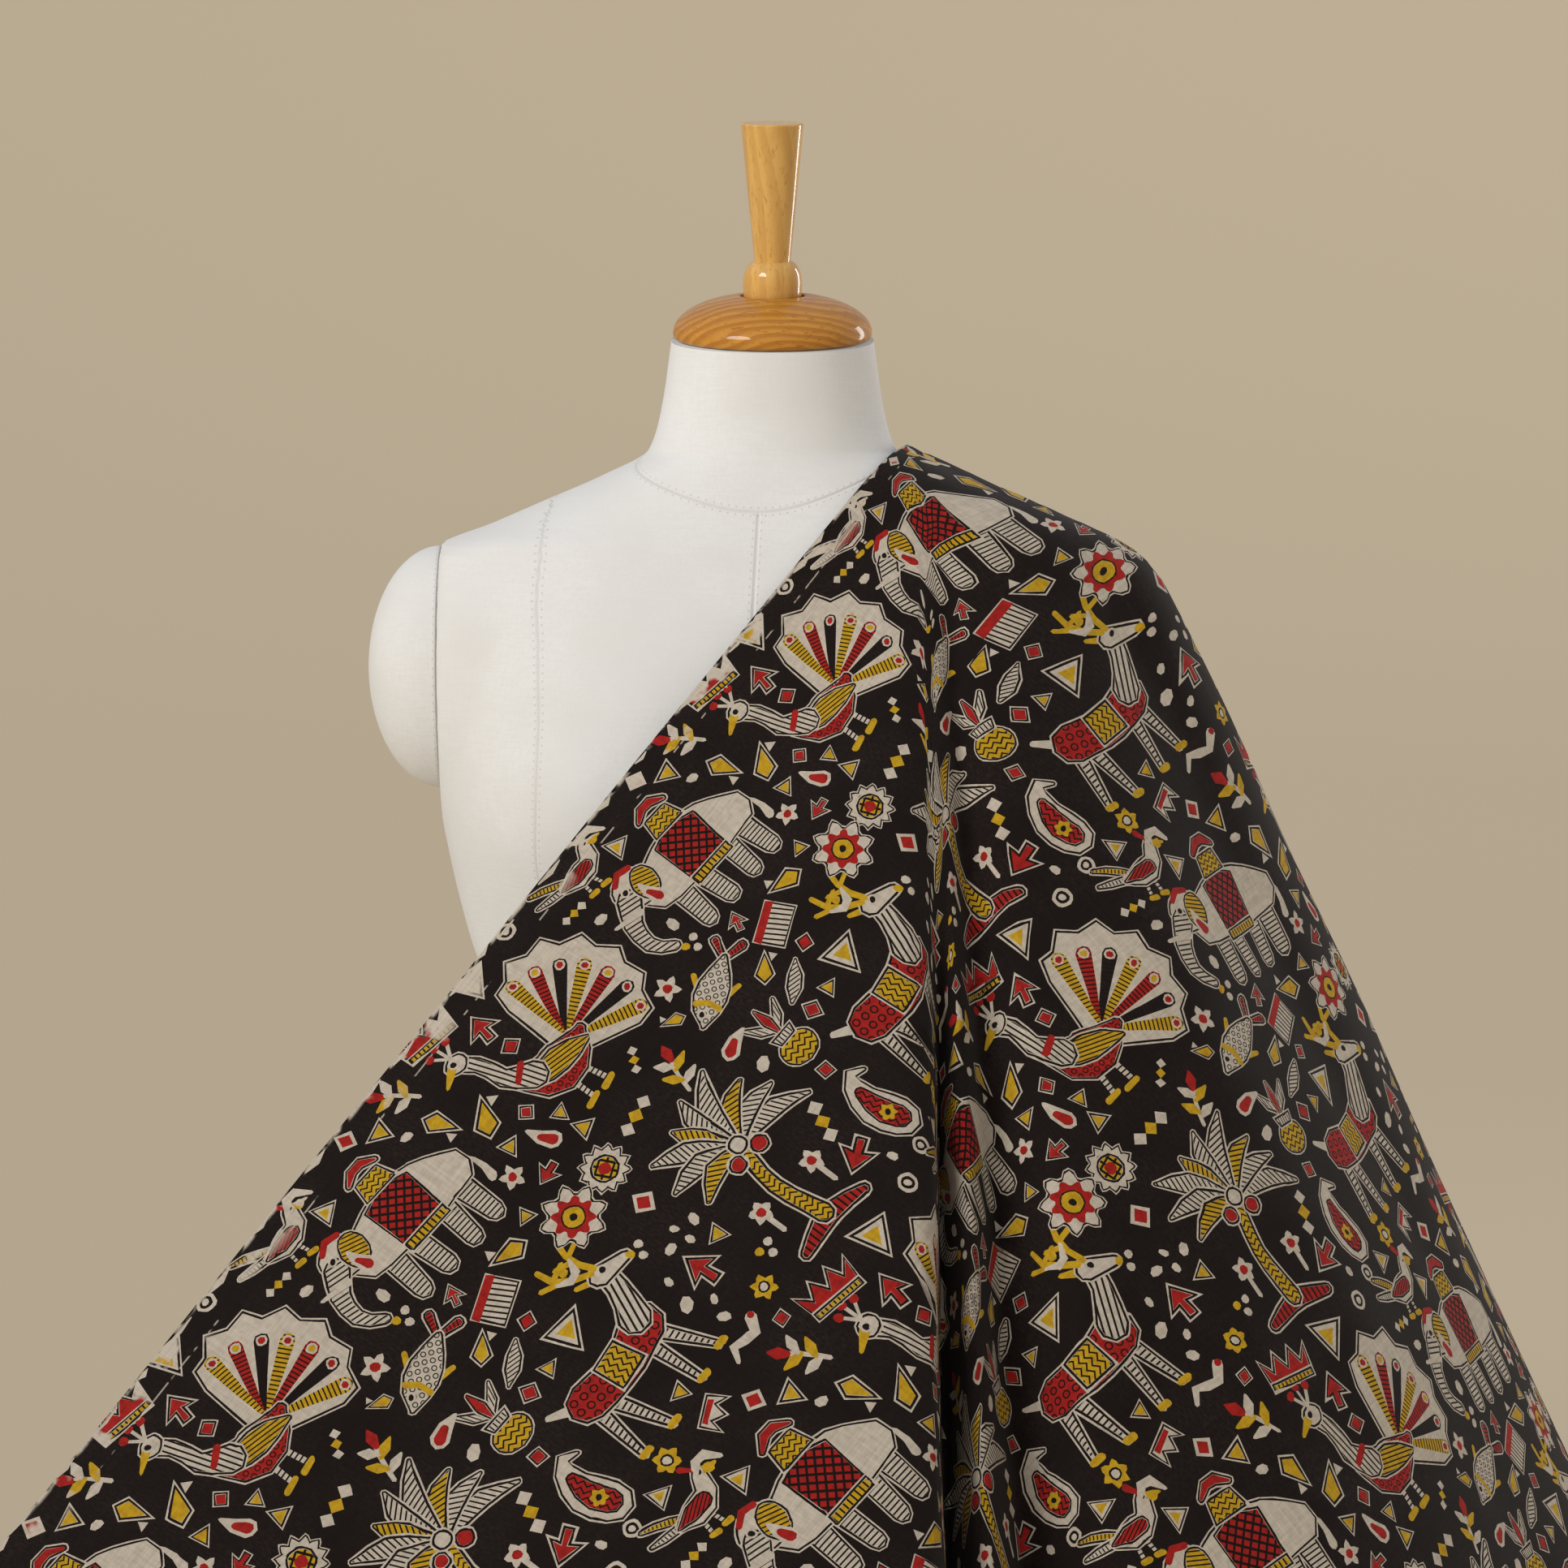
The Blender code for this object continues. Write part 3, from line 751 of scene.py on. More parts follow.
def elephant():
    parts = legs(CREAM,
                 [(-22, -4, 6.6, -24, -30, 5.2), (-8, -6, 6, -6, -31, 5), (15, -6, 6, 13, -31, 5),
                  (28, -4, 6.6, 30, -30, 5.2)])
    parts.append(limb(CREAM, [(36, 10, 1.3), (44, -4, 1.1), (43, -16, 2.4)], line=False))
    parts.append(limb(CREAM, [(-27, 5, 14), (-6, 8, 18), (16, 7, 17.5), (31, 3, 12)]))
    parts.append(plate(RED, [(-13, -9), (15, -9), (17, 21), (2, 27), (-14, 22)], (CHECKS, 4.4, 45)))
    parts.append(plate(MUSTARD, [(-13, -12), (15.5, -12), (15.5, -6), (-13, -6)], (STRIPES, 3, 0)))
    parts.append(plate(MUSTARD, [(-9, 25), (13, 25), (10, 38), (-6, 38)], (ZIGZAG, 3.4, 90)))
    parts.append(limb(RED, [(-8, 40, 1.8), (2, 46, 3.6), (12, 40, 1.8)]))
    parts.append(blob(CREAM, -38, 15, 13, 12))
    parts.append(limb(CREAM, [(-45, 12, 7), (-55, -2, 5.2), (-56, -17, 4), (-48, -26, 3)],
                      (STRIPES, 2.8, 75)))
    parts.append(limb(CREAM, [(-46, 3, 2), (-62, 6, 0.7)], line=False))
    parts.append(blob(MUSTARD, -31, 13, 8, 11, turn=-12, fill=(STRIPES, 2.4, 65)))
    parts.append(limb(RED, [(-44, 24, 1.4), (-38, 28, 1.8), (-31, 26, 1.4)], line=False))
    return parts + eye(-43, 17)


def deer():
    parts = legs(CREAM,
                 [(-19, -2, 3.6, -27, -30, 1.7), (-13, -4, 3.4, -11, -32, 1.6),
                  (16, -3, 3.6, 12, -32, 1.7), (22, -1, 3.6, 29, -29, 1.6)], 3)
    parts.append(limb(CREAM, [(27, 8, 2.2), (35, 15, 1)], line=False))
    parts.append(limb(RED, [(-19, 3, 10), (0, 0, 8.8), (21, 4, 9.6)], (RINGS, 5.2, 20)))
    parts.append(plate(MUSTARD, [(-8, -6), (9, -6), (8, 10), (-7, 10)], (ZIGZAG, 3.2, 0)))
    parts.append(limb(CREAM, [(-20, 7, 7.4), (-28, 20, 4.8), (-31, 29, 4.4)], (STRIPES, 3, 30)))
    parts.append(limb(MUSTARD, [(-27, 31, 1.6), (-19, 37, 0.7)], line=False))
    parts.append(limb(CREAM, [(-29, 31, 5), (-42, 26, 2.6)]))
    for side in (0, 1):
        lean = 11 * side
        parts.append(limb(MUSTARD,
                          [(-31 + 3 * side, 35, 1.2), (-29 + lean, 46, 1.1),
                           (-33 + 1.4 * lean, 56, 0.9)], line=False))
        parts.append(limb(MUSTARD, [(-29 + lean, 45, 0.9), (-22 + lean, 50, 0.8)], line=False))
        parts.append(limb(MUSTARD, [(-30 + lean, 48, 0.9), (-37 + lean, 49, 0.8)], line=False))
    return parts + eye(-32, 31.5, 1.2)


def tree():
    parts = [limb(RED, [(-19, -44, 2.6), (0, -40, 4.6), (19, -44, 2.6)], (STRIPES, 2.8, 0)),
             limb(MUSTARD, [(0, -38, 4.4), (-3, -14, 3.4), (2, 10, 3)], (ZIGZAG, 3, 85))]
    for number in range(9):
        turn = math.radians(-14 + 26 * number)
        reach = 33 + 5 * math.cos(2 * number)
        tip_x = 2 + reach * math.cos(turn)
        tip_y = 11 + reach * math.sin(turn)
        bend_x = 2 + 0.55 * reach * math.cos(turn) - 3 * math.sin(turn)
        bend_y = 11 + 0.55 * reach * math.sin(turn) + 4
        ink = (CREAM, CREAM, MUSTARD)[number % 3]
        parts.append(limb(ink, [(2, 10, 1.4), (bend_x, bend_y, 4.6), (tip_x, tip_y, 0.7)],
                          (STRIPES, 2.2, math.degrees(turn) + 35)))
    parts.append(blob(RED, -5, 5, 4, points=12))
    parts.append(blob(RED, 8, 4, 4.2, points=12))
    parts.append(blob(CREAM, 2, 11, 4.2, points=12))
    for x, y in ((-16, -22), (15, -24)):
        parts.append(limb(CREAM, [(x, y - 8, 0.8), (x, y + 2, 0.8)], line=False))
        parts.append(blob(CREAM, x, y + 5, 5.4, petals=5, depth=0.4, line=False))
        parts.append(spot(RED, x, y + 5, 1.9, 8))
    return parts


def fish():
    parts = [limb(RED, [(17, 0, 1.6), (26, 8, 2.8)], (STRIPES, 2, 50)),
             limb(RED, [(17, 0, 1.6), (27, -7, 2.8)], (STRIPES, 2, -50)),
             limb(MUSTARD, [(-4, 7, 1.6), (5, 13, 1)], line=False),
             limb(MUSTARD, [(-3, -7, 1.6), (5, -12, 1)], line=False),
             limb(CREAM, [(-21, -1, 1.4), (-12, 0.5, 7.4), (2, 0.5, 8.6), (18, 0, 2)],
                  (RINGS, 4, 30)),
             limb(MUSTARD, [(-10, -6, 1.3), (-8, 0, 1.3), (-10, 7, 1.3)], line=False)]
    return parts + eye(-15, 2, 1.2)


def bird():
    parts = [limb(MUSTARD, [(8, 0, 2.2), (20, 8, 2.4), (29, 12, 1.4)], (STRIPES, 2.2, 30)),
             limb(CREAM, [(8, -2, 2.2), (22, 0, 2.4), (31, 2, 1.2)], (STRIPES, 2.2, 0))]
    parts += legs(CREAM, [(-3, -7, 0.9, -5, -17, 0.8), (3, -7, 0.9, 4, -17, 0.8)], 3)
    parts += [limb(CREAM, [(12, -2, 3), (0, -2, 8), (-10, 2, 6), (-14, 11, 4.4)]),
              limb(RED, [(-6, 0, 4.6), (4, -1, 4.6), (14, -2, 1)], (STRIPES, 2, 60)),
              limb(MUSTARD, [(-17, 12, 1.8), (-25, 10, 0.5)], line=False),
              limb(RED, [(-13, 16, 1), (-9, 21, 1.6)], line=False)]
    return parts + eye(-15, 12.5, 1.1)


def paisley():
    return [limb(CREAM, [(-1, -12, 10), (-2, 0, 10.4), (2, 12, 6.6), (10, 19, 3.2), (15, 14, 1)]),
            limb(RED, [(-1, -11, 6.2), (-1.5, 0, 6.4), (2.5, 11, 3)], (ZIGZAG, 3.4, 0)),
            blob(MUSTARD, -1.5, -5, 4.4, petals=6, depth=0.3, line=False),
            spot(BLACK, -1.5, -5, 1.3, 8)]


def lotus():
    return [blob(CREAM, 0, 0, 17, petals=8, depth=0.3),
            blob(RED, 0, 0, 11.2, petals=8, depth=0.3, turn=22.5, line=False),
            spot(BLACK, 0, 0, 6, 16),
            spot(MUSTARD, 0, 0, 5.2, 14),
            spot(BLACK, 0, 0, 1.7, 8)]


def wheel():
    return [blob(CREAM, 0, 0, 13, petals=12, depth=0.22, points=48),
            spot(BLACK, 0, 0, 8, 18),
            blob(MUSTARD, 0, 0, 7.2, fill=(CHECKS, 4, 20), points=16),
            spot(RED, 0, 0, 3, 10)]


def mat():
    return [plate(CREAM, [(-14, -9), (13, -11), (14, 9), (-13, 11)], (STRIPES, 3.4, 2)),
            plate(RED, [(-14, 6), (14, 4), (14, 9), (-13, 11)], line=False)]


def crown():
    return [plate(RED,
                  [(-16, -9), (16, -9), (18, 7), (11, -1), (6, 9), (0, -1), (-6, 9), (-11, -1),
                   (-18, 7)]),
            plate(MUSTARD, [(-16, -11), (16, -11), (16, -6.5), (-16, -6.5)], (STRIPES, 3, 0))]


def pot():
    return [limb(CREAM, [(0, 10, 1), (-9, 20, 3), (-13, 26, 0.7)], (STRIPES, 2, 20)),
            limb(CREAM, [(0, 10, 1), (9, 20, 3), (13, 26, 0.7)], (STRIPES, 2, -20)),
            limb(RED, [(0, 9, 1), (0, 20, 3.4), (0, 29, 0.8)]),
            blob(MUSTARD, 0, -5, 12, 10, fill=(ZIGZAG, 4, 90)),
            plate(CREAM, [(-6, 3), (6, 3), (8, 9), (-8, 9)], (STRIPES, 2.4, 0))]


def sprig():
    parts = [limb(CREAM, [(0, -13, 0.8), (1, 0, 0.8), (0, 10, 0.8)], line=False)]
    for x, y, tip_x, tip_y, ink in ((0, -8, -9, -2, CREAM), (0, -6, 9, 0, MUSTARD),
                                    (1, 1, -8, 8, MUSTARD), (1, 3, 9, 9, CREAM)):
        parts.append(limb(ink,
                          [(x, y, 0.8), (0.5 * (x + tip_x), 0.5 * (y + tip_y), 2.5),
                           (tip_x, tip_y, 0.5)], line=False))
    parts.append(limb(RED, [(0, 8, 1.6), (0, 12, 3), (0, 17, 0.5)], line=False))
    return parts


def star():
    return [blob(CREAM, 0, 0, 7, petals=5, depth=0.5, line=False), spot(RED, 0, 0, 2.2, 8)]


def rosette():
    return [blob(MUSTARD, 0, 0, 6.6, petals=6, depth=0.35, line=False),
            spot(BLACK, 0, 0, 2.8, 9),
            spot(CREAM, 0, 0, 1.8, 8)]


def ring():
    return [spot(CREAM, 0, 0, 5.2, 14), spot(BLACK, 0, 0, 3.3, 12), spot(CREAM, 0, 0, 1.7, 8)]


def drop():
    return [limb(CREAM, [(0, -5, 4.2), (0.5, 1, 3.2), (3, 8, 0.6)], line=False),
            limb(RED, [(0, -5, 2.4), (0.5, 1, 1.4)], line=False)]


def crescent():
    return [limb(CREAM, [(-8, 4, 0.7), (0, -4, 2.6), (8, 4, 0.7)], line=False),
            spot(MUSTARD, 0, 4, 2.4, 9)]


def diamond():
    return [plate(CREAM, [(-6, 0), (0, -6.5), (6, 0), (0, 6.5)], line=False),
            plate(RED, [(-3.6, 0), (0, -4), (3.6, 0), (0, 4)], line=False)]


def leaf():
    return [limb(CREAM, [(-11, -3, 0.8), (0, 0, 4.6), (12, 5, 0.6)], (STRIPES, 2.2, 60))]


def gem():
    return [plate(RED, [(-5.5, 0), (0, -6), (5.5, 0), (0, 6)])]


def wedge():
    return [plate(MUSTARD, [(-6, -4), (6, -4), (0, 6.5)])]


def bead():
    return [blob(CREAM, 0, 0, 3.8, 2.6, line=False, points=7)]


def arrow():
    return [plate(RED,
                  [(-2.5, -8), (2.5, -8), (2.2, -1), (7.5, -2), (0, 8.5), (-7.5, -2), (-2.2, -1)])]


def tent():
    return [plate(CREAM, [(-9, -6), (9, -6), (0, 8.5)]),
            plate(MUSTARD, [(-4, -3.8), (4, -3.8), (0, 2.6)], line=False)]


def chips():
    return [plate(ink, [(x - 3, 0), (x, -3.2), (x + 3, 0), (x, 3.2)], line=False) for ink,
            x in ((CREAM, -7), (MUSTARD, 0), (CREAM, 7))]


def comb():
    return [plate(CREAM, [(-9.5, -5), (9.5, -5), (10, 7), (5, 1), (0, 8), (-5, 1), (-10, 7)]),
            plate(RED, [(-7, -3.4), (7, -3.4), (7, -0.6), (-7, -0.6)], line=False)]


def kite():
    return [plate(MUSTARD, [(-5, 3), (0, -10), (5, 3), (0, 8)]),
            plate(CREAM, [(-7, -9), (-3, -10), (-4, -6)], line=False)]


def dots():
    return [spot(ink, 3.6 * math.cos(turn), 3.6 * math.sin(turn), 1.9, 8) for ink,
            turn in ((CREAM, 0.5), (MUSTARD, 2.6), (CREAM, 4.7))]


def snake():
    return [limb(CREAM, [(-12, -2, 0.8), (-5, 4, 2), (3, -3, 2.2), (11, 3, 2.6)], line=False),
            spot(RED, 12, 3.5, 1.6, 8)]


# One repeat of the print, in millimetres from its lower left corner as the motifs stand upright
REPEAT_ALONG = 225
REPEAT_ACROSS = 240
REPEAT_ROWS = (
    # motif, right, up, turn_degrees, scale, mirrored
    (peacock, 48, 173, 4, 0.96, False),
    (elephant, 172, 178, -5, 0.90, False),
    (deer, 168, 52, 4, 1.08, True),
    (tree, 56, 60, -4, 1.10, False),
    (fish, 118, 128, 18, 0.95, False),
    (bird, 131, 224, -8, 0.85, True),
    (paisley, 112, 28, 12, 0.95, False),
    (lotus, 214, 116, 10, 0.95, False),
    (wheel, 16, 118, 0, 0.95, False),
    (mat, 162, 122, 24, 0.80, False),
    (crown, 24, 236, -12, 0.85, False),
    (pot, 116, 80, -6, 0.85, False),
    (sprig, 216, 226, 30, 0.95, False),
    (sprig, 74, 118, -24, 0.90, True),
    (snake, 208, 12, 10, 0.95, False),
    (star, 106, 148, 10, 1.00, False),
    (rosette, 142, 8, 0, 1.00, False),
    (ring, 88, 236, 0, 0.90, False),
    (drop, 12, 152, 30, 1.00, False),
    (crescent, 150, 234, 170, 0.95, False),
    (diamond, 12, 92, 0, 1.00, False),
    (dots, 132, 152, 0, 1.00, False),
    (star, 214, 152, -8, 0.90, False),
    (rosette, 8, 20, 0, 0.95, False),
    (drop, 100, 104, -70, 1.00, False),
    (dots, 216, 80, 0, 1.00, False),
    (leaf, 142, 96, 10, 0.90, False),
    (ring, 108, 2, 0, 0.80, False),
    (diamond, 186, 232, 12, 0.90, False),
    (dots, 24, 30, 0, 1.00, False),
    (crescent, 190, 100, 12, 0.85, False),
    (drop, 142, 186, 20, 0.90, False),
)
MOTIF_REACH = 75.0

# Small motifs that fill the gaps, with the radius that each needs
FILLERS = (
    (arrow, 9.0),
    (tent, 9.5),
    (comb, 11.0),
    (kite, 9.0),
    (chips, 9.0),
)
SMALL_FILLERS = (
    (gem, 6.5),
    (wedge, 7.0),
    (bead, 4.4),
)
FILLER_STEP = 4.5
FILLER_GAP = 3.4
FILLER_LEAST = 0.60
FILLER_MOST = 1.10
FILLER_TURN = 47.0
REPEAT_MARGIN = 20.0

# Cream patches along the selvage that the printing blocks missed, in millimetres
SELVAGE_PATCHES = 58
SELVAGE_SEED = 11
PATCH_GAP = (14.0, 50.0)
PATCH_RUN = (5.0, 20.0)
PATCH_HALF_WIDTH = (0.9, 2.6)
PATCH_PLACE = (0.6, 3.4)


def rings_of(shapes, rim, inset):
    """For each shape its grown outline and, where it has a drawn line, its shrunk outline, as
    rows of (shape, points, is_inner) with points in millimetres."""
    rings = []
    for shape in shapes:
        rings.append((shape, outline(shape, rim if shape["line"] else UNLINED_GROW), False))
        if shape["line"]:
            rings.append((shape, outline(shape, -inset), True))
    return rings


def printed_rings(drape, size, rim, inset):
    """Every printed shape of the cloth as rings on the flat cloth, in millimetres. Repeats step
    down the selvage and in from it; up on a motif is towards the selvage. Returns rows of
    (points, shape, spin, centre, is_inner), where a flat point is spin times local plus centre."""
    placed = []
    repeat_along = size * REPEAT_ALONG
    repeat_across = size * REPEAT_ACROSS
    rows = REPEAT_ROWS + gap_rows()
    motifs = [(rings_of(build(), rim, inset), *row) for build, *row in rows]
    reach = 1000.0 * drape.lengths.max()
    downs = range(int(-reach / repeat_along) - 1, int(reach / repeat_along) + 2)
    acrosses = range(int(reach / repeat_across) + 2)
    for down, across in [(down, across) for down in downs for across in acrosses]:
        for rings, right, up, turn, scale, mirrored in motifs:
            centre = np.array((down * repeat_along - size * right,
                               (across + 1) * repeat_across - size * up))
            if not near_cloth(drape, centre):
                continue
            spin = -size * turned_by(turn, scale, mirrored)
            placed += [(points, shape, spin, centre, is_inner)
                       for shape, points, is_inner in rings]
    chance = np.random.default_rng(SELVAGE_SEED)
    at = -1000.0 * drape.lengths[-1]
    for _ in range(SELVAGE_PATCHES):
        at += chance.uniform(*PATCH_GAP)
        run = chance.uniform(*PATCH_RUN)
        half = chance.uniform(*PATCH_HALF_WIDTH)
        patch = limb(CREAM, [(-0.5 * run, 0.0, 0.4), (-0.1 * run, 0.6, half),
                             (0.5 * run, -0.4, 0.5)], line=False)
        centre = np.array((at, chance.uniform(*PATCH_PLACE)))
        placed.append((outline(patch, 0.0), patch, np.eye(2), centre, False))
    return [(hand_cut(points @ spin.T + centre, spin), shape, spin, centre, is_inner)
            for points, shape, spin, centre, is_inner in placed]


def turning(degrees):
    """The matrix of an anticlockwise turn."""
    turn = math.radians(degrees)
    return np.array(((math.cos(turn), -math.sin(turn)), (math.sin(turn), math.cos(turn))))


def turned_by(turn, scale, mirrored):
    """The matrix that mirrors a motif left to right if asked, turns it by degrees and scales it."""
    return scale * turning(turn) @ np.diag((-1.0 if mirrored else 1.0, 1.0))


def gap_rows():
    """Rows for small motifs in the gaps of one repeat, the roomiest places first.

    The room of a place is its distance from the nearest outline of this or a neighbouring
    repeat, and a motif there is scaled to it."""
    period = np.array((REPEAT_ALONG, REPEAT_ACROSS))
    spots = np.stack(np.meshgrid(np.arange(0.0, period[0], FILLER_STEP),
                                 np.arange(0.0, period[1], FILLER_STEP)), axis=-1).reshape(-1, 2)
    room = np.full(len(spots), 1000.0)
    for build, right, up, turn, scale, mirrored in REPEAT_ROWS:
        spin = turned_by(turn, scale, mirrored)
        for shape in build():
            loop = outline(shape, 1.0) @ spin.T + (right, up)
            for shift in np.ndindex(3, 3):
                moved = loop + (np.array(shift) - 1.0) * period
                before = (moved.max(axis=0) < -REPEAT_MARGIN).any()
                after = (moved.min(axis=0) > period + REPEAT_MARGIN).any()
                if before or after:
                    continue
                away = distance_to_ring(spots, moved)
                room = np.minimum(room, np.where(inside_loop(spots, moved), 0.0, away))
    rows = []
    for number in np.argsort(-room):
        build, radius = FILLERS[len(rows) % len(FILLERS)]
        scale = min((room[number] - FILLER_GAP) / radius, FILLER_MOST)
        if scale < FILLER_LEAST:
            build, radius = SMALL_FILLERS[len(rows) % len(SMALL_FILLERS)]
            scale = min((room[number] - FILLER_GAP) / radius, FILLER_MOST)
        if scale < FILLER_LEAST:
            continue
        place = spots[number]
        rows.append((build, *place, FILLER_TURN * len(rows) % 360.0, scale, False))
        offset = np.abs(spots - place)
        offset = np.minimum(offset, period - offset)
        room = np.minimum(room, np.hypot(*offset.T) - radius * scale)
    return tuple(rows)


def hand_cut(flat, spin):
    """A ring in anticlockwise order with a slight waver: each coordinate gets a small sine of
    the place on the cloth."""
    if np.linalg.det(spin) < 0.0:
        flat = flat[::-1]
    shake = np.column_stack((np.sin(1.1 * flat[:, 1] + 0.31 * flat[:, 0]),
                             np.sin(0.9 * flat[:, 0] - 0.23 * flat[:, 1] + 1.0)))
    return flat + CUT_WOBBLE * shake


def near_cloth(drape, centre):
    """True if a motif round this flat point, in millimetres, may reach the cloth."""
    angle = math.atan2(centre[1], centre[0]) % TAU
    if angle > 1.5 * math.pi:
        angle = 0.0
    angle = min(angle, drape.angles[-1])
    length = 1000.0 * np.interp(angle, drape.angles, drape.lengths)
    return np.hypot(*centre) < length + MOTIF_REACH and centre[1] > -MOTIF_REACH


def on_cloth(drape, flat, margin=0.0):
    """True for flat points, in millimetres, that lie on the cloth and a margin from its edge."""
    angle = np.arctan2(flat[:, 1], flat[:, 0])
    length = 1000.0 * np.interp(angle, drape.angles, drape.lengths)
    inside = (angle > 0.0) & (angle < drape.angles[-1]) & (flat[:, 1] > margin)
    return inside & (np.hypot(flat[:, 0], flat[:, 1]) < length - margin)


def inside_loop(points, loop):
    """True for points inside a closed outline: a level line from the point to the right crosses
    the outline an odd number of times."""
    start_x, start_y = loop.T
    end_x, end_y = np.roll(loop, -1, axis=0).T
    y = points[:, 1:2]
    crossed = (start_y > y) != (end_y > y)
    rise = np.where(end_y == start_y, 1.0, end_y - start_y)
    place = start_x + (y - start_y) * (end_x - start_x) / rise
    return (crossed & (points[:, 0:1] < place)).sum(axis=1) % 2 == 1


def last_loops(centres, loops):
    """For each centre the number, from 1, of the last outline that holds it, or 0."""
    order = np.argsort(centres[:, 0])
    sorted_x = centres[order, 0]
    owner = np.zeros(len(centres), dtype=int)
    for number, loop in enumerate(loops, start=1):
        low = loop.min(axis=0)
        high = loop.max(axis=0)
        first, last = np.searchsorted(sorted_x, (low[0], high[0]))
        near = order[first:last]
        near = near[(centres[near, 1] > low[1]) & (centres[near, 1] < high[1])]
        owner[near[inside_loop(centres[near], loop)]] = number
    return owner


def distance_to_ring(points, ring_points):
    """Distance of each point from a closed outline: the least over its straight sides of the
    distance to the nearest place on that side."""
    start = ring_points[None, :, :]
    run = np.roll(ring_points, -1, axis=0)[None, :, :] - start
    offset = points[:, None, :] - start
    length = np.maximum((run ** 2).sum(axis=2), 1e-9)
    place = np.clip((offset * run).sum(axis=2) / length, 0.0, 1.0)
    return np.linalg.norm(offset - place[..., None] * run, axis=2).min(axis=1)


def flat_print(drape, settings):
    """The flat cloth cut into triangles along every printed outline.

    Returns flat points in millimetres, triangles, and for each triangle corner the print values
    (edge, ink, line filling) and the filling's two coordinates. The edge value runs from 0 on the
    outer ring of a shape to 1 on its inner ring and stays 1 inside it."""
    rim = 1000.0 * settings.rim
    inset = 1000.0 * settings.line_inset
    placed = printed_rings(drape, settings.motif_scale, rim, inset)
    border = drape.hem(0.001 * OUTLINE_STEP) * 1000.0
    spots = np.arange(-1000.0 * drape.lengths.max(), 1000.0 * drape.lengths.max(), GRID_STEP)
    grid_along, grid_across = np.meshgrid(spots, spots, indexing="ij")
    grid_across = grid_across + 0.5 * GRID_STEP * (np.arange(len(spots))[:, None] % 2)
    grid = np.column_stack((grid_along.ravel(), grid_across.ravel()))
    loops = [border] + [ring[0] for ring in placed]
    starts = running_total([len(loop) for loop in loops])
    points = np.vstack(loops + [grid[on_cloth(drape, grid, GRID_MARGIN * GRID_STEP)]])
    faces = [list(range(low, high)) for low, high in zip(starts[:-1], starts[1:])]
    cut = delaunay_2d_cdt([Vector(point) for point in points.tolist()], [], faces, 0,
                          MERGE_DISTANCE, True)
    flat = np.array([tuple(point) for point in cut[0]])
    triangles = np.array(cut[2])
    a, b, c = (flat[triangles[:, corner]] for corner in range(3))
    doubled = (b[:, 0] - a[:, 0]) * (c[:, 1] - a[:, 1]) - (b[:, 1] - a[:, 1]) * (c[:, 0] - a[:, 0])
    backward = doubled < 0.0
    triangles[backward] = triangles[backward][:, ::-1]
    centres = (a + b + c) / 3.0
    kept = on_cloth(drape, centres) & (np.abs(doubled) > LEAST_TRIANGLE)
    triangles = triangles[kept]
    owner = last_loops(centres[kept], loops[1:])
    prints = np.zeros((len(triangles), 3, 3))
    prints[..., 0] = 1.0
    filling = np.zeros((len(triangles), 3, 2))
    order = np.argsort(owner, kind="stable")
    bounds = np.searchsorted(owner[order], np.arange(len(loops) + 1))
    for number, (_, shape, spin, centre, is_inner) in enumerate(placed, start=1):
        mine = order[bounds[number]:bounds[number + 1]]
        if not len(mine):
            continue
        corners = flat[triangles[mine]].reshape(-1, 2)
        if shape["line"] and not is_inner:
            to_outer = distance_to_ring(corners, loops[number])
            to_inner = distance_to_ring(corners, loops[number + 1])
            edge = to_outer / np.maximum(to_outer + to_inner, 1e-6)
            prints[mine, :, 0] = edge.reshape(-1, 3)
        prints[mine, :, 1] = shape["ink"]
        kind, pitch, turn = shape["fill"]
        prints[mine, :, 2] = kind
        local = (corners - centre) @ np.linalg.inv(spin).T
        filling[mine] = (local @ turning(turn) / pitch).reshape(-1, 3, 2)
    used, renumbered = np.unique(triangles, return_inverse=True)
    return flat[used], renumbered.reshape(-1, 3), prints, filling


# Meshes

def mesh_object(name, points, faces):
    """A smooth-shaded mesh from an array of points and an array of faces with as many corners
    each, linked to the scene."""
    mesh = bpy.data.meshes.new(name)
    mesh.vertices.add(len(points))
    mesh.vertices.foreach_set("co", np.ascontiguousarray(points, dtype=np.float32).ravel())
    mesh.loops.add(faces.size)
    mesh.loops.foreach_set("vertex_index", np.ascontiguousarray(faces, dtype=np.int32).ravel())
    mesh.polygons.add(len(faces))
    mesh.polygons.foreach_set("loop_start", np.arange(0, faces.size, faces.shape[1]))
    mesh.polygons.foreach_set("use_smooth", np.ones(len(faces), dtype=bool))
    mesh.update(calc_edges=True)
    obj = bpy.data.objects.new(name, mesh)
    bpy.context.scene.collection.objects.link(obj)
    return obj


def set_uv(obj, name, corners):
    """A UV map from an array of (u, v) for each face corner."""
    layer = obj.data.uv_layers.new(name=name)
    layer.data.foreach_set("uv", np.ascontiguousarray(corners, dtype=np.float32).ravel())


def corner_points(obj):
    """The number of the point at each face corner."""
    corners = np.empty(len(obj.data.loops), dtype=np.int32)
    obj.data.loops.foreach_get("vertex_index", corners)
    return corners


def tube_faces(rings, sides, flip=False):
    """Quads between rings of points. Each ring has one more point than it has sides, at the same
    place as its first, so that a UV map can end there."""
    ring = np.arange(rings - 1)[:, None]
    side = np.arange(sides)[None, :]
    width = sides + 1
    low = ring * width + side
    faces = np.stack((low, low + 1, low + 1 + width, low + width), axis=-1).reshape(-1, 4)
    return faces[:, ::-1] if flip else faces


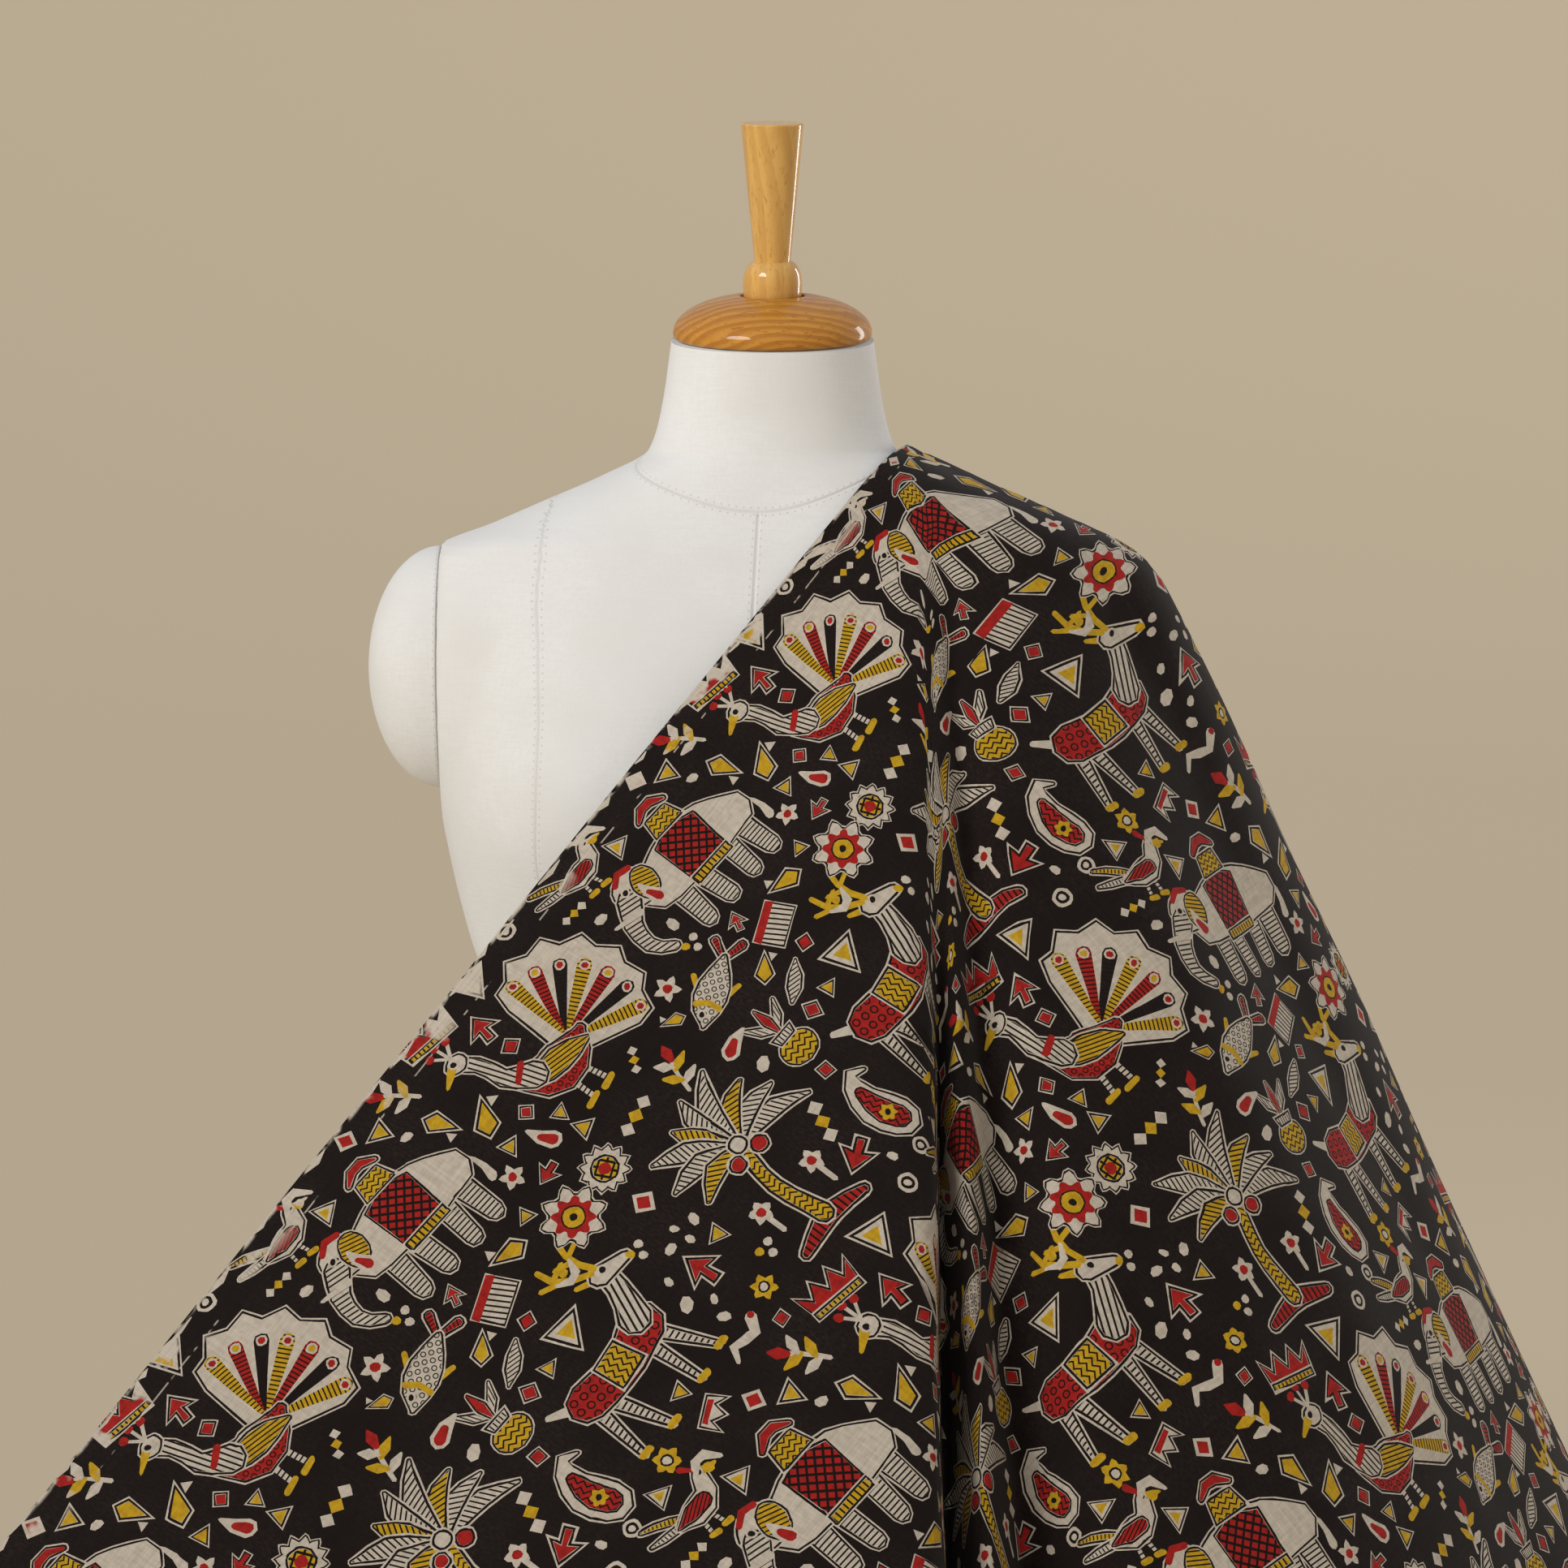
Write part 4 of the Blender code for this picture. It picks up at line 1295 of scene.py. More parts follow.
def turned(name, curve, straight, base, sides=128, steps=48):
    """A solid of revolution about the vertical axis through the origin.

    The profile is rows of (radius, height above the base): first a smooth curve, followed with
    steps even along its length, then rows joined by straight lines. It is closed on the axis at
    both ends, and edges sharper than an angle stay sharp."""
    rows = np.array(curve, dtype=float)
    keyed = np.column_stack((travelled(rows), rows))
    line = curve_through(keyed, np.linspace(0.0, keyed[-1, 0], steps))
    line = np.vstack((line, np.array(straight, dtype=float).reshape(-1, 2)))
    line = np.vstack(((AXIS_RADIUS, line[0, 1]), line, (AXIS_RADIUS, line[-1, 1])))
    angle = np.arange(sides) / sides * TAU
    points = np.stack((line[:, 0:1] * np.cos(angle), line[:, 0:1] * np.sin(angle),
                       np.broadcast_to(base + line[:, 1:2], (len(line), sides))), axis=-1)
    ring = np.arange(len(line) - 1)[:, None] * sides
    side = np.arange(sides)[None, :]
    after = (side + 1) % sides
    faces = np.stack((ring + side, ring + after, ring + sides + after, ring + sides + side),
                     axis=-1)
    piece = mesh_object(name, points.reshape(-1, 3), faces.reshape(-1, 4))
    piece.data.set_sharp_from_angle(angle=SHARP_ANGLE)
    return piece


def tilt_with_neck(piece):
    """Turns a mesh forward about the middle of the neck's cut."""
    middle = Matrix.Translation((0.0, 0.0, NECK_TOP))
    piece.data.transform(middle @ Matrix.Rotation(NECK_TILT, 4, "X") @ middle.inverted())


def make_cloth(settings):
    """The printed cloth: the flat print laid on the draped form, a single sheet."""
    drape = Drape()
    flat, triangles, prints, filling = flat_print(drape, settings)
    ray, station = drape.places(0.001 * flat)
    points = drape.sampled(drape.grid, ray, station)
    points[:, 2] = np.maximum(points[:, 2], FLOOR_LIFT)
    cloth = mesh_object("draped_cloth", points, triangles)
    normals = unit(drape.sampled(drape.normals(drape.grid), ray, station))
    cloth.data.normals_split_custom_set_from_vertices(normals)
    set_uv(cloth, "cloth_uv", 0.001 * flat[triangles])
    set_uv(cloth, "filling", filling)
    values = np.concatenate((prints, np.ones(prints.shape[:2] + (1,))), axis=-1)
    layer = cloth.data.color_attributes.new(name="print", type="FLOAT_COLOR", domain="CORNER")
    layer.data.foreach_set("color", values.astype(np.float32).ravel())
    cloth.data.materials.append(print_material())
    return cloth, drape


def princess_angle(height):
    """Angle from the front of the two princess seams at a height, in radians."""
    return np.radians(smooth_through(PRINCESS_SEAM, height)[..., 0])


def neck_seam_height(from_front):
    """Height of the neck seam: low in front, high at the sides and at the back."""
    side = np.sin(from_front) ** 2
    front = np.cos(from_front) > 0.0
    return np.where(front, NECK_SEAM_FRONT + (NECK_SEAM_SIDE - NECK_SEAM_FRONT) * side,
                    NECK_SEAM_BACK + (NECK_SEAM_SIDE - NECK_SEAM_BACK) * side)


def make_torso(levels, sides):
    """The linen cover of the torso, closed at both ends. On the bare side it flares out to meet
    the rim of the arm cap.

    Two UV maps carry the seams. In "upright" u counts the upright seams, which lie on its whole
    numbers, and v is the distance between two of them there. In "level" u is the distance above
    the neck seam and v the distance round the neck."""
    even = np.linspace(FORM_BOTTOM, NECK_TOP - TOUCHING_GAP, levels)
    crowded = NECK_RINGS_FROM + NECK_RINGS_REACH * np.linspace(0.0, 1.0, levels // 4)
    heights = np.unique(np.concatenate((even, crowded)))
    angle = np.radians(FORM_FACING) + np.linspace(-math.pi, math.pi, sides + 1)
    height, angle = np.meshgrid(heights, angle, indexing="ij")
    radius = form_radius(height, angle - 0.5 * math.pi)
    from_front = angle - math.radians(FORM_FACING)
    x = radius * np.sin(angle)
    y = -radius * np.cos(angle)
    near_hole = np.hypot(y / CAP_HALF_DEPTH, (height - CAP_HEIGHT) / CAP_HALF_HEIGHT)
    collar = 1.0 - smooth_step((near_hole - COLLAR_START) / COLLAR_REACH)
    collar = collar * smooth_step((-x - COLLAR_SIDE) / COLLAR_SIDE_BLEND)
    collar = collar * smooth_step((COLLAR_TOP - height) / COLLAR_TOP_BLEND)
    x = x - collar * (ARMHOLE_SIDE + x)
    blend = smooth_step((height - NECK_TILT_START) / (NECK_TOP - NECK_TILT_START))
    points = np.stack((x, y, height + blend * math.tan(NECK_TILT) * y), axis=-1)
    princess = princess_angle(height)
    knots = (-math.pi, -0.5 * math.pi - BACK_SEAM_TURN, -0.5 * math.pi, -princess, 0.0)
    count = np.zeros_like(height)
    spacing = np.zeros_like(height)
    for start, end in zip(knots[:-1], knots[1:]):
        place = np.clip((-np.abs(from_front) - start) / (end - start), 0.0, 1.0)
        count += place
        here = (place > 0.0) & (place <= 1.0)
        spacing = np.where(here, (end - start) * radius, spacing)
    slope = NECK_SLOPE_FRONT + NECK_SLOPE_SIDE * np.sin(from_front) ** 2
    above = (height - neck_seam_height(from_front)) * slope
    around = from_front * NECK_SEAM_RADIUS
    ends = [np.zeros_like(points[:1]), points, np.zeros_like(points[:1])]
    ends[0][..., 2] = FORM_BOTTOM
    ends[2][..., 2] = NECK_TOP - TOUCHING_GAP
    grid = np.concatenate(ends)
    torso = mesh_object("linen_torso", grid.reshape(-1, 3), tube_faces(len(grid), sides))
    corners = corner_points(torso)
    for name, first, second in (("upright", count, spacing), ("level", above, around)):
        pair = np.stack((first, second), axis=-1)
        pair = np.concatenate((pair[:1], pair, pair[-1:])).reshape(-1, 2)
        set_uv(torso, name, pair[corners])
    down = np.zeros_like(points[:1])
    down[..., 2] = -1.0
    normals = np.concatenate((down, torso_normals(points), -down))
    torso.data.normals_split_custom_set_from_vertices(normals.reshape(-1, 3))
    return torso


def torso_normals(grid):
    """Outward unit normals of a grid of rings round the torso, whose first and last column are
    one place."""
    around = np.gradient(grid, axis=1)
    seam = 0.5 * (grid[:, 1] - grid[:, -2])
    around[:, 0] = seam
    around[:, -1] = seam
    return unit(np.cross(around, np.gradient(grid, axis=0)))


def make_arm_cap(name, side, rings=28, sides=96):
    """A linen dome on the armhole: half of an ellipsoid whose rim lies on the torso's flat side.
    Its UV map "dome" holds the distance from the rim and the distance round it."""
    rise = np.linspace(0.0, 0.5 * math.pi, rings)
    turn = np.linspace(0.0, TAU, sides + 1)
    rise, turn = np.meshgrid(rise, turn, indexing="ij")
    out = ARMHOLE_SIDE + TOUCHING_GAP + CAP_BULGE * np.sin(rise)
    y = CAP_HALF_DEPTH * np.cos(rise) * np.cos(turn)
    z = CAP_HEIGHT + CAP_HALF_HEIGHT * np.cos(rise) * np.sin(turn)
    points = np.stack((side * out, y, z), axis=-1)
    points = np.concatenate((np.broadcast_to(points[:1].mean(axis=1, keepdims=True),
                                             points[:1].shape), points))
    cap = mesh_object(name, points.reshape(-1, 3), tube_faces(rings + 1, sides, side < 0))
    pair = np.stack((rise * CAP_RISE_RADIUS, turn * CAP_RIM_RADIUS), axis=-1)
    pair = np.concatenate((pair[:1], pair)).reshape(-1, 2)
    set_uv(cap, "dome", pair[corner_points(cap)])
    return cap


# Materials

class Recipe:
    """A material's node tree, with one short call for each node.

    Inputs are given as a value or as the output socket that feeds them."""

    def __init__(self, name):
        self.material = bpy.data.materials.new(name)
        self.material.use_nodes = True
        self.tree = self.material.node_tree
        self.shader = self.tree.nodes["Principled BSDF"]

    def node(self, kind, inputs=(), **settings):
        """A new node with its settings and inputs."""
        node = self.tree.nodes.new(kind)
        for key, value in settings.items():
            setattr(node, key, value)
        self.feed(node, inputs)
        return node

    def feed(self, node, inputs):
        """Gives a node its inputs."""
        for key, value in dict(inputs).items():
            if isinstance(value, bpy.types.NodeSocket):
                self.tree.links.new(value, node.inputs[key])
            else:
                node.inputs[key].default_value = value

    def math(self, operation, *values):
        """The result of one sum on one to three values."""
        return self.node("ShaderNodeMath", enumerate(values), operation=operation).outputs[0]

    def ramp(self, value, low, high, to_low=0.0, to_high=1.0):
        """A smooth step: to_low below low, to_high above high."""
        inputs = {"Value": value, "From Min": low, "From Max": high,
                  "To Min": to_low, "To Max": to_high}
        return self.node("ShaderNodeMapRange", inputs, interpolation_type="SMOOTHSTEP").outputs[0]

    def mix(self, factor, first, second, blend_type="MIX"):
        """A blend of two colours."""
        inputs = {0: factor, 6: first, 7: second}
        return self.node("ShaderNodeMix", inputs, data_type="RGBA", blend_type=blend_type).outputs[2]

    def noise(self, place, scale, detail=2.0, roughness=0.5):
        """A soft noise of mean one half."""
        inputs = {"Vector": place, "Scale": scale, "Detail": detail, "Roughness": roughness}
        return self.node("ShaderNodeTexNoise", inputs).outputs["Fac"]

    def stretched(self, place, scale):
        """A place with its axes scaled."""
        return self.node("ShaderNodeMapping", {"Vector": place, "Scale": scale}).outputs[0]

    def object_place(self):
        """The object's own coordinates."""
        return self.node("ShaderNodeTexCoord").outputs["Object"]

    def uv(self, name):
        """The two coordinates of a UV map, and the map itself."""
        place = self.node("ShaderNodeUVMap", uv_map=name).outputs[0]
        parts = self.node("ShaderNodeSeparateXYZ", {0: place})
        return parts.outputs[0], parts.outputs[1], place

    def near(self, value, period, half_width, softness):
        """One where the value lies within a half width of a whole number of periods."""
        wave = self.math("PINGPONG", value, 0.5 * period)
        return self.ramp(wave, half_width - softness, half_width + softness, 1.0, 0.0)

    def both(self, first, second):
        """One where both values are one."""
        return self.math("MULTIPLY", first, second)

    def either(self, first, second):
        """The larger of two values."""
        return self.math("MAXIMUM", first, second)

    def length(self, first, second):
        """The length of a line with these two legs."""
        return self.math("SQRT", self.math("ADD", self.both(first, first),
                                           self.both(second, second)))

    def is_number(self, value, number):
        """One where the value is this whole number."""
        return self.math("COMPARE", value, float(number), 0.4)

    def weave(self, across, along, pitch):
        """Height of a plain weave: the product of two waves a pitch long."""
        waves = [self.math("SINE", self.math("MULTIPLY", side, TAU / pitch))
                 for side in (across, along)]
        return self.both(*waves)

    def bump(self, height, distance, normal=None):
        """The surface normal tilted by a height of which one stands for this distance."""
        inputs = {"Height": height, "Distance": distance}
        if normal is not None:
            inputs["Normal"] = normal
        return self.node("ShaderNodeBump", inputs).outputs[0]


BLACK_DYE = (0.0110, 0.0066, 0.0055, 1.0)
BLACK_DYE_WORN = (0.0260, 0.0180, 0.0158, 1.0)
CREAM_COTTON = (0.595, 0.520, 0.425, 1.0)
CREAM_COTTON_GREY = (0.480, 0.415, 0.335, 1.0)
MADDER_RED = (0.400, 0.017, 0.013, 1.0)
MADDER_RED_DARK = (0.245, 0.013, 0.012, 1.0)
MUSTARD_DYE = (0.570, 0.350, 0.016, 1.0)
MUSTARD_DYE_DARK = (0.440, 0.240, 0.012, 1.0)
REVERSE_TINT = (0.120, 0.092, 0.080, 1.0)

# Drawn lines, in shares of the way from a shape's rim to its inner ring and of a filling's cell
LINE_FROM = 0.36
LINE_TO = 0.83
INK_SHIFT = 0.16
LINE_SOFTNESS = 0.03

# Marks along the selvage, in metres from it
FADED_REACH = (0.008, 0.022)
GUIDE_PLACE = 0.0165
GUIDE_HALF_WIDTH = (0.00025, 0.00065)
BARE_REACH = (0.0006, 0.0032)

# Pitches of the weaves, in metres
COTTON_PITCH = 0.00050
LINEN_PITCH = 0.00062


def line_fillings(recipe, kind):
    """One on the drawn lines that fill a shape, whose cells are one unit of its filling map."""
    fill_a, fill_b, _ = recipe.uv("filling")
    stripe = recipe.near(fill_a, 1.0, 0.17, LINE_SOFTNESS)
    crossing = recipe.either(stripe, recipe.near(fill_b, 1.0, 0.15, LINE_SOFTNESS))
    swing = recipe.math("MULTIPLY", recipe.math("PINGPONG", fill_b, 0.75), 0.9)
    zigzag = recipe.near(recipe.math("ADD", fill_a, swing), 1.0, 0.16, LINE_SOFTNESS)
    radius = recipe.length(recipe.math("PINGPONG", fill_a, 0.5),
                           recipe.math("PINGPONG", fill_b, 0.5))
    off_ring = recipe.math("ABSOLUTE", recipe.math("SUBTRACT", radius, 0.30))
    rings = recipe.ramp(off_ring, 0.07 - LINE_SOFTNESS, 0.07 + LINE_SOFTNESS, 1.0, 0.0)
    lines = 0.0
    for number, drawn in ((STRIPES, stripe), (CHECKS, crossing), (ZIGZAG, zigzag), (RINGS, rings)):
        lines = recipe.math("MULTIPLY_ADD", recipe.is_number(kind, number), drawn, lines)
    return lines


def selvage_wear(recipe, color, across, flat, ink):
    """A colour with what the selvage adds to it: motifs washed out to cream in patches, a broken
    guide line printed along the edge, and bare cotton at the edge itself."""
    faded = recipe.both(recipe.ramp(across, *FADED_REACH, 1.0, 0.0),
                        recipe.ramp(recipe.noise(flat, 42.0, 3.0), 0.46, 0.52))
    inked = recipe.math("SUBTRACT", 1.0, recipe.is_number(ink, BLACK))
    color = recipe.mix(recipe.both(faded, inked), color, CREAM_COTTON)
    off_guide = recipe.math("ABSOLUTE", recipe.math("SUBTRACT", across, GUIDE_PLACE))
    guide = recipe.both(recipe.ramp(off_guide, *GUIDE_HALF_WIDTH, 1.0, 0.0),
                        recipe.ramp(recipe.noise(flat, 95.0, 2.0), 0.55, 0.60))
    color = recipe.mix(recipe.both(guide, 0.7), color, CREAM_COTTON)
    bare = recipe.both(recipe.ramp(across, *BARE_REACH, 1.0, 0.0),
                       recipe.ramp(recipe.noise(flat, 60.0, 3.0), 0.47, 0.56))
    return recipe.mix(bare, color, CREAM_COTTON)


def print_material():
    """The printed cotton: the ink, drawn line, cream rim and line filling of each shape come
    from the print values on the mesh, and the cloth's own grain from its flat coordinates."""
    recipe = Recipe("printed_cotton")
    along, across, flat = recipe.uv("cloth_uv")
    values = recipe.node("ShaderNodeVertexColor", layer_name="print").outputs[0]
    parts = recipe.node("ShaderNodeSeparateColor", {0: values})
    edge, ink, kind = parts.outputs
    blot = recipe.noise(flat, 260.0, 3.0)
    cloud = recipe.noise(flat, 24.0, 4.0)
    worn = recipe.ramp(recipe.noise(recipe.stretched(flat, (1.0, 0.35, 1.0)), 900.0, 2.0), 0.3, 0.8)
    black = recipe.mix(recipe.both(recipe.ramp(cloud, 0.3, 0.75), worn), BLACK_DYE, BLACK_DYE_WORN)
    cream = recipe.mix(recipe.ramp(blot, 0.30, 0.85), CREAM_COTTON, CREAM_COTTON_GREY)
    red = recipe.mix(recipe.ramp(blot, 0.35, 0.80), MADDER_RED, MADDER_RED_DARK)
    mustard = recipe.mix(recipe.ramp(blot, 0.35, 0.80), MUSTARD_DYE, MUSTARD_DYE_DARK)
    filled = recipe.mix(recipe.is_number(ink, CREAM), black, cream)
    filled = recipe.mix(recipe.is_number(ink, RED), filled, red)
    filled = recipe.mix(recipe.is_number(ink, MUSTARD), filled, mustard)
    lines = line_fillings(recipe, kind)
    shift = recipe.ramp(recipe.noise(flat, 45.0, 1.0), 0.35, 0.70, 0.0, INK_SHIFT)
    drawn_edge = recipe.math("ADD", LINE_TO, shift)
    inside = recipe.math("GREATER_THAN", edge, drawn_edge)
    color = recipe.mix(inside, cream, filled)
    color = recipe.mix(recipe.both(inside, lines), color, BLACK_DYE)
    waver = recipe.math("MULTIPLY_ADD", blot, 0.16, -0.08)
    wavering = recipe.math("ADD", edge, waver)
    line = recipe.both(recipe.math("GREATER_THAN", wavering, LINE_FROM),
                       recipe.math("LESS_THAN", edge, LINE_TO))
    color = recipe.mix(line, color, BLACK_DYE)
    color = selvage_wear(recipe, color, across, flat, ink)
    slub = recipe.noise(recipe.stretched(flat, (1.0, 0.03, 1.0)), 700.0, 2.0)
    slub = recipe.math("ADD", slub, recipe.noise(recipe.stretched(flat, (0.03, 1.0, 1.0)), 700.0))
    shade = recipe.ramp(slub, 0.6, 1.4, 0.88, 1.12)
    shade = recipe.node("ShaderNodeCombineColor", {0: shade, 1: shade, 2: shade}).outputs[0]
    color = recipe.mix(1.0, color, shade, "MULTIPLY")
    behind = recipe.node("ShaderNodeNewGeometry").outputs["Backfacing"]
    color = recipe.mix(recipe.both(behind, 0.38), color, REVERSE_TINT)
    height = recipe.math("MULTIPLY_ADD", recipe.weave(along, across, COTTON_PITCH), 0.5, slub)
    recipe.feed(recipe.shader, {
        "Base Color": color,
        "Roughness": 0.85,
        "Specular IOR Level": 0.12,
        "Sheen Weight": 0.05,
        "Sheen Roughness": 0.45,
        "Normal": recipe.bump(height, 0.00006),
    })
    return recipe.material


LINEN = (0.885, 0.888, 0.884, 1.0)
LINEN_SHADE = (0.825, 0.818, 0.802, 1.0)
LINEN_SEAM = (0.420, 0.380, 0.330, 1.0)


def linen_material(name, domed=False):
    """Pale linen with a fine weave. On the torso, seams are soft grooves with a row of stitch
    holes on either side; on an arm cap, one groove follows the rim."""
    recipe = Recipe(name)
    place = recipe.object_place()
    x, y, z = recipe.node("ShaderNodeSeparateXYZ", {0: place}).outputs
    cloud = recipe.noise(place, 16.0, 3.0)
    slub = recipe.noise(recipe.stretched(place, (1.0, 1.0, 0.12)), 800.0, 2.0)
    slub = recipe.math("ADD", slub, recipe.noise(recipe.stretched(place, (0.12, 0.12, 1.0)), 800.0))
    if domed:
        off, along, _ = recipe.uv("dome")
        seams = [(off, along)]
        off_seam = recipe.math("ADD", off, 0.0005)
    else:
        count, spacing, _ = recipe.uv("upright")
        above, around, _ = recipe.uv("level")
        upright = recipe.both(recipe.math("PINGPONG", count, 0.5), spacing)
        upright = recipe.math("ADD", upright, recipe.math("GREATER_THAN", above, 0.0))
        level = recipe.math("ABSOLUTE", above)
        seams = [(upright, z), (level, around)]
        off_seam = recipe.math("MINIMUM", upright, level)
    holes = 0.0
    for off, along in seams:
        row = recipe.ramp(recipe.math("ABSOLUTE", recipe.math("SUBTRACT", off, 0.0022)),
                          0.0002, 0.0006, 1.0, 0.0)
        hole = recipe.both(row, recipe.near(along, 0.0042, 0.00045, 0.0003))
        holes = recipe.either(hole, holes)
    groove = recipe.ramp(off_seam, 0.0001, 0.0016, 1.0, 0.0)
    line = recipe.ramp(off_seam, 0.0002, 0.0007, 1.0, 0.0)
    pucker = recipe.both(recipe.ramp(off_seam, 0.001, 0.010, 1.0, 0.0),
                         recipe.noise(recipe.stretched(place, (1.0, 1.0, 1.6)), 90.0, 1.0))
    color = recipe.mix(recipe.ramp(cloud, 0.30, 0.75), LINEN, LINEN_SHADE)
    color = recipe.mix(recipe.ramp(slub, 0.80, 1.25, 0.0, 0.55), color, LINEN_SHADE)
    color = recipe.mix(recipe.both(line, 0.22), color, LINEN_SEAM)
    color = recipe.mix(recipe.both(holes, 0.30), color, LINEN_SEAM)
    weave = recipe.weave(recipe.math("ADD", x, y), z, LINEN_PITCH)
    fine = recipe.math("MULTIPLY_ADD", weave, 0.5, slub)
    dips = recipe.math("MULTIPLY_ADD", holes, -0.4, recipe.math("MULTIPLY_ADD", groove, -1.0,
                                                                recipe.both(pucker, 0.2)))
    recipe.feed(recipe.shader, {
        "Base Color": color,
        "Roughness": 0.88,
        "Specular IOR Level": 0.25,
        "Sheen Weight": 0.08,
        "Normal": recipe.bump(fine, 0.00006, recipe.bump(dips, 0.0004)),
    })
    return recipe.material


def wood_material(name, dark, light, coat, heart=None):
    """Varnished turned wood: growth rings as bands round a far axis, dark flecks and pores along
    the grain, and a clear coat. Grain is upright and faint, unless a heart's height is given:
    then it arches over an axis at that height."""
    recipe = Recipe(name)
    place = recipe.object_place()
    x, y, z = recipe.node("ShaderNodeSeparateXYZ", {0: place}).outputs
    if heart is None:
        grain = recipe.stretched(place, (1.0, 1.0, 0.07))
        first = recipe.math("ADD", x, 0.060)
        second = y
        rings_per_metre = 130.0
        contrast = 0.40
    else:
        grain = recipe.stretched(place, (0.25, 0.6, 1.0))
        first = recipe.math("MULTIPLY", recipe.math("SUBTRACT", x, 0.012), 0.42)
        second = recipe.math("SUBTRACT", recipe.math("MULTIPLY_ADD", y, 0.25, z), heart)
        rings_per_metre = 230.0
        contrast = 0.62
    bend = recipe.noise(grain, 34.0, 2.0)
    reach = recipe.math("MULTIPLY_ADD", bend, 0.018, recipe.length(first, second))
    ring = recipe.math("FRACT", recipe.math("MULTIPLY", reach, rings_per_metre))
    band = recipe.both(recipe.ramp(ring, 0.0, 0.80), recipe.ramp(ring, 0.86, 1.0, 1.0, 0.0))
    pores = recipe.ramp(recipe.noise(grain, 900.0, 3.0, 0.7), 0.52, 0.72)
    flecks = recipe.ramp(recipe.noise(grain, 520.0, 3.0, 0.7), 0.56, 0.66)
    color = recipe.mix(recipe.ramp(band, 0.05, 0.95, 0.0, contrast), light, dark)
    color = recipe.mix(recipe.both(pores, 0.40), color, dark)
    color = recipe.mix(recipe.both(flecks, 0.70), color, dark)
    cloud = recipe.noise(place, 30.0, 2.0)
    color = recipe.mix(recipe.ramp(cloud, 0.35, 0.75, 0.0, 0.30), color, dark)
    recipe.feed(recipe.shader, {
        "Base Color": color,
        "Roughness": 0.50,
        "Specular IOR Level": 0.12,
        "Coat Weight": coat,
        "Coat Roughness": 0.07,
        "Normal": recipe.bump(recipe.math("SUBTRACT", band, pores), 0.00003),
    })
    return recipe.material


def steel_material():
    """Brushed steel with fine rings round the pole."""
    recipe = Recipe("satin_steel")
    brushed = recipe.noise(recipe.stretched(recipe.object_place(), (0.4, 0.4, 9.0)), 260.0, 3.0)
    recipe.feed(recipe.shader, {
        "Base Color": (0.52, 0.50, 0.47, 1.0),
        "Metallic": 1.0,
        "Roughness": recipe.ramp(brushed, 0.3, 0.7, 0.26, 0.42),
        "Normal": recipe.bump(brushed, 0.00003),
    })
    return recipe.material


def backdrop_material(color, glow):
    """Plain matt paper. It gives a share of its brightness itself, as evenly lit paper would."""
    recipe = Recipe("pale_backdrop")
    recipe.feed(recipe.shader, {
        "Base Color": (*[part * (1.0 - glow) for part in color], 1.0),
        "Roughness": 0.95,
        "Specular IOR Level": 0.05,
        "Emission Color": (*color, 1.0),
        "Emission Strength": glow,
    })
    return recipe.material


# Stage

def make_backdrop(settings):
    """One sheet of paper: a round floor whose rim rises as a quarter of a circle."""
    radius = settings.backdrop_radius
    rise = settings.backdrop_height
    turns = np.linspace(0.0, 0.5 * math.pi, RIM_RINGS)[1:]
    radii = np.concatenate((np.linspace(0.001, 1.0, FLOOR_RINGS) * radius,
                            radius + rise * np.sin(turns)))
    heights = np.concatenate((np.zeros(FLOOR_RINGS), rise * (1.0 - np.cos(turns)))) - FLOOR_DROP
    angle = np.linspace(0.0, TAU, BACKDROP_SIDES + 1)
    points = np.stack((radii[:, None] * np.cos(angle), radii[:, None] * np.sin(angle),
                       np.broadcast_to(heights[:, None], (len(radii), len(angle)))), axis=-1)
    backdrop = mesh_object("pale_backdrop", points.reshape(-1, 3),
                           tube_faces(len(radii), BACKDROP_SIDES, flip=True))
    backdrop.data.materials.append(backdrop_material(tuple(settings.backdrop_color),
                                                     settings.backdrop_glow))
    return backdrop


def put(context, name, data, place, back):
    """A light or a camera at a place, with its back towards a direction."""
    thing = bpy.data.objects.new(name, data)
    thing.location = place
    thing.rotation_euler = back.to_track_quat("Z", "Y").to_euler()
    context.scene.collection.objects.link(thing)
    return thing


def add_lights(context, settings):
    """A soft light from the left, a narrow one behind the form, and even light all round."""
    sun = bpy.data.lights.new("main_light", "SUN")
    sun.energy = settings.sun_strength
    sun.angle = settings.sun_spread
    sun.color = SUN_COLOR
    low = math.cos(settings.sun_elevation)
    put(context, "main_light", sun, (0.0, 0.0, 0.0),
        Vector((math.sin(settings.sun_azimuth) * low, -math.cos(settings.sun_azimuth) * low,
                math.sin(settings.sun_elevation))))
    strip = bpy.data.lights.new("edge_light", "AREA")
    strip.shape = "RECTANGLE"
    strip.size, strip.size_y = EDGE_LIGHT_SIZE
    strip.energy = settings.edge_power
    edge = put(context, "edge_light", strip, settings.edge_place,
               Vector(settings.edge_place) - Vector((0.0, 0.0, NECK_TOP)))
    edge.visible_camera = False
    world = bpy.data.worlds.new("even_light")
    world.use_nodes = True
    sky = world.node_tree.nodes["Background"]
    sky.inputs["Color"].default_value = SKY_COLOR
    sky.inputs["Strength"].default_value = settings.fill_strength
    context.scene.world = world


def add_camera(context, settings):
    """The camera, aimed at its target."""
    view = bpy.data.cameras.new("camera")
    view.lens = settings.lens
    view.sensor_width = SENSOR_WIDTH
    return put(context, "camera", view, settings.camera_place,
               Vector(settings.camera_place) - Vector(settings.camera_target))


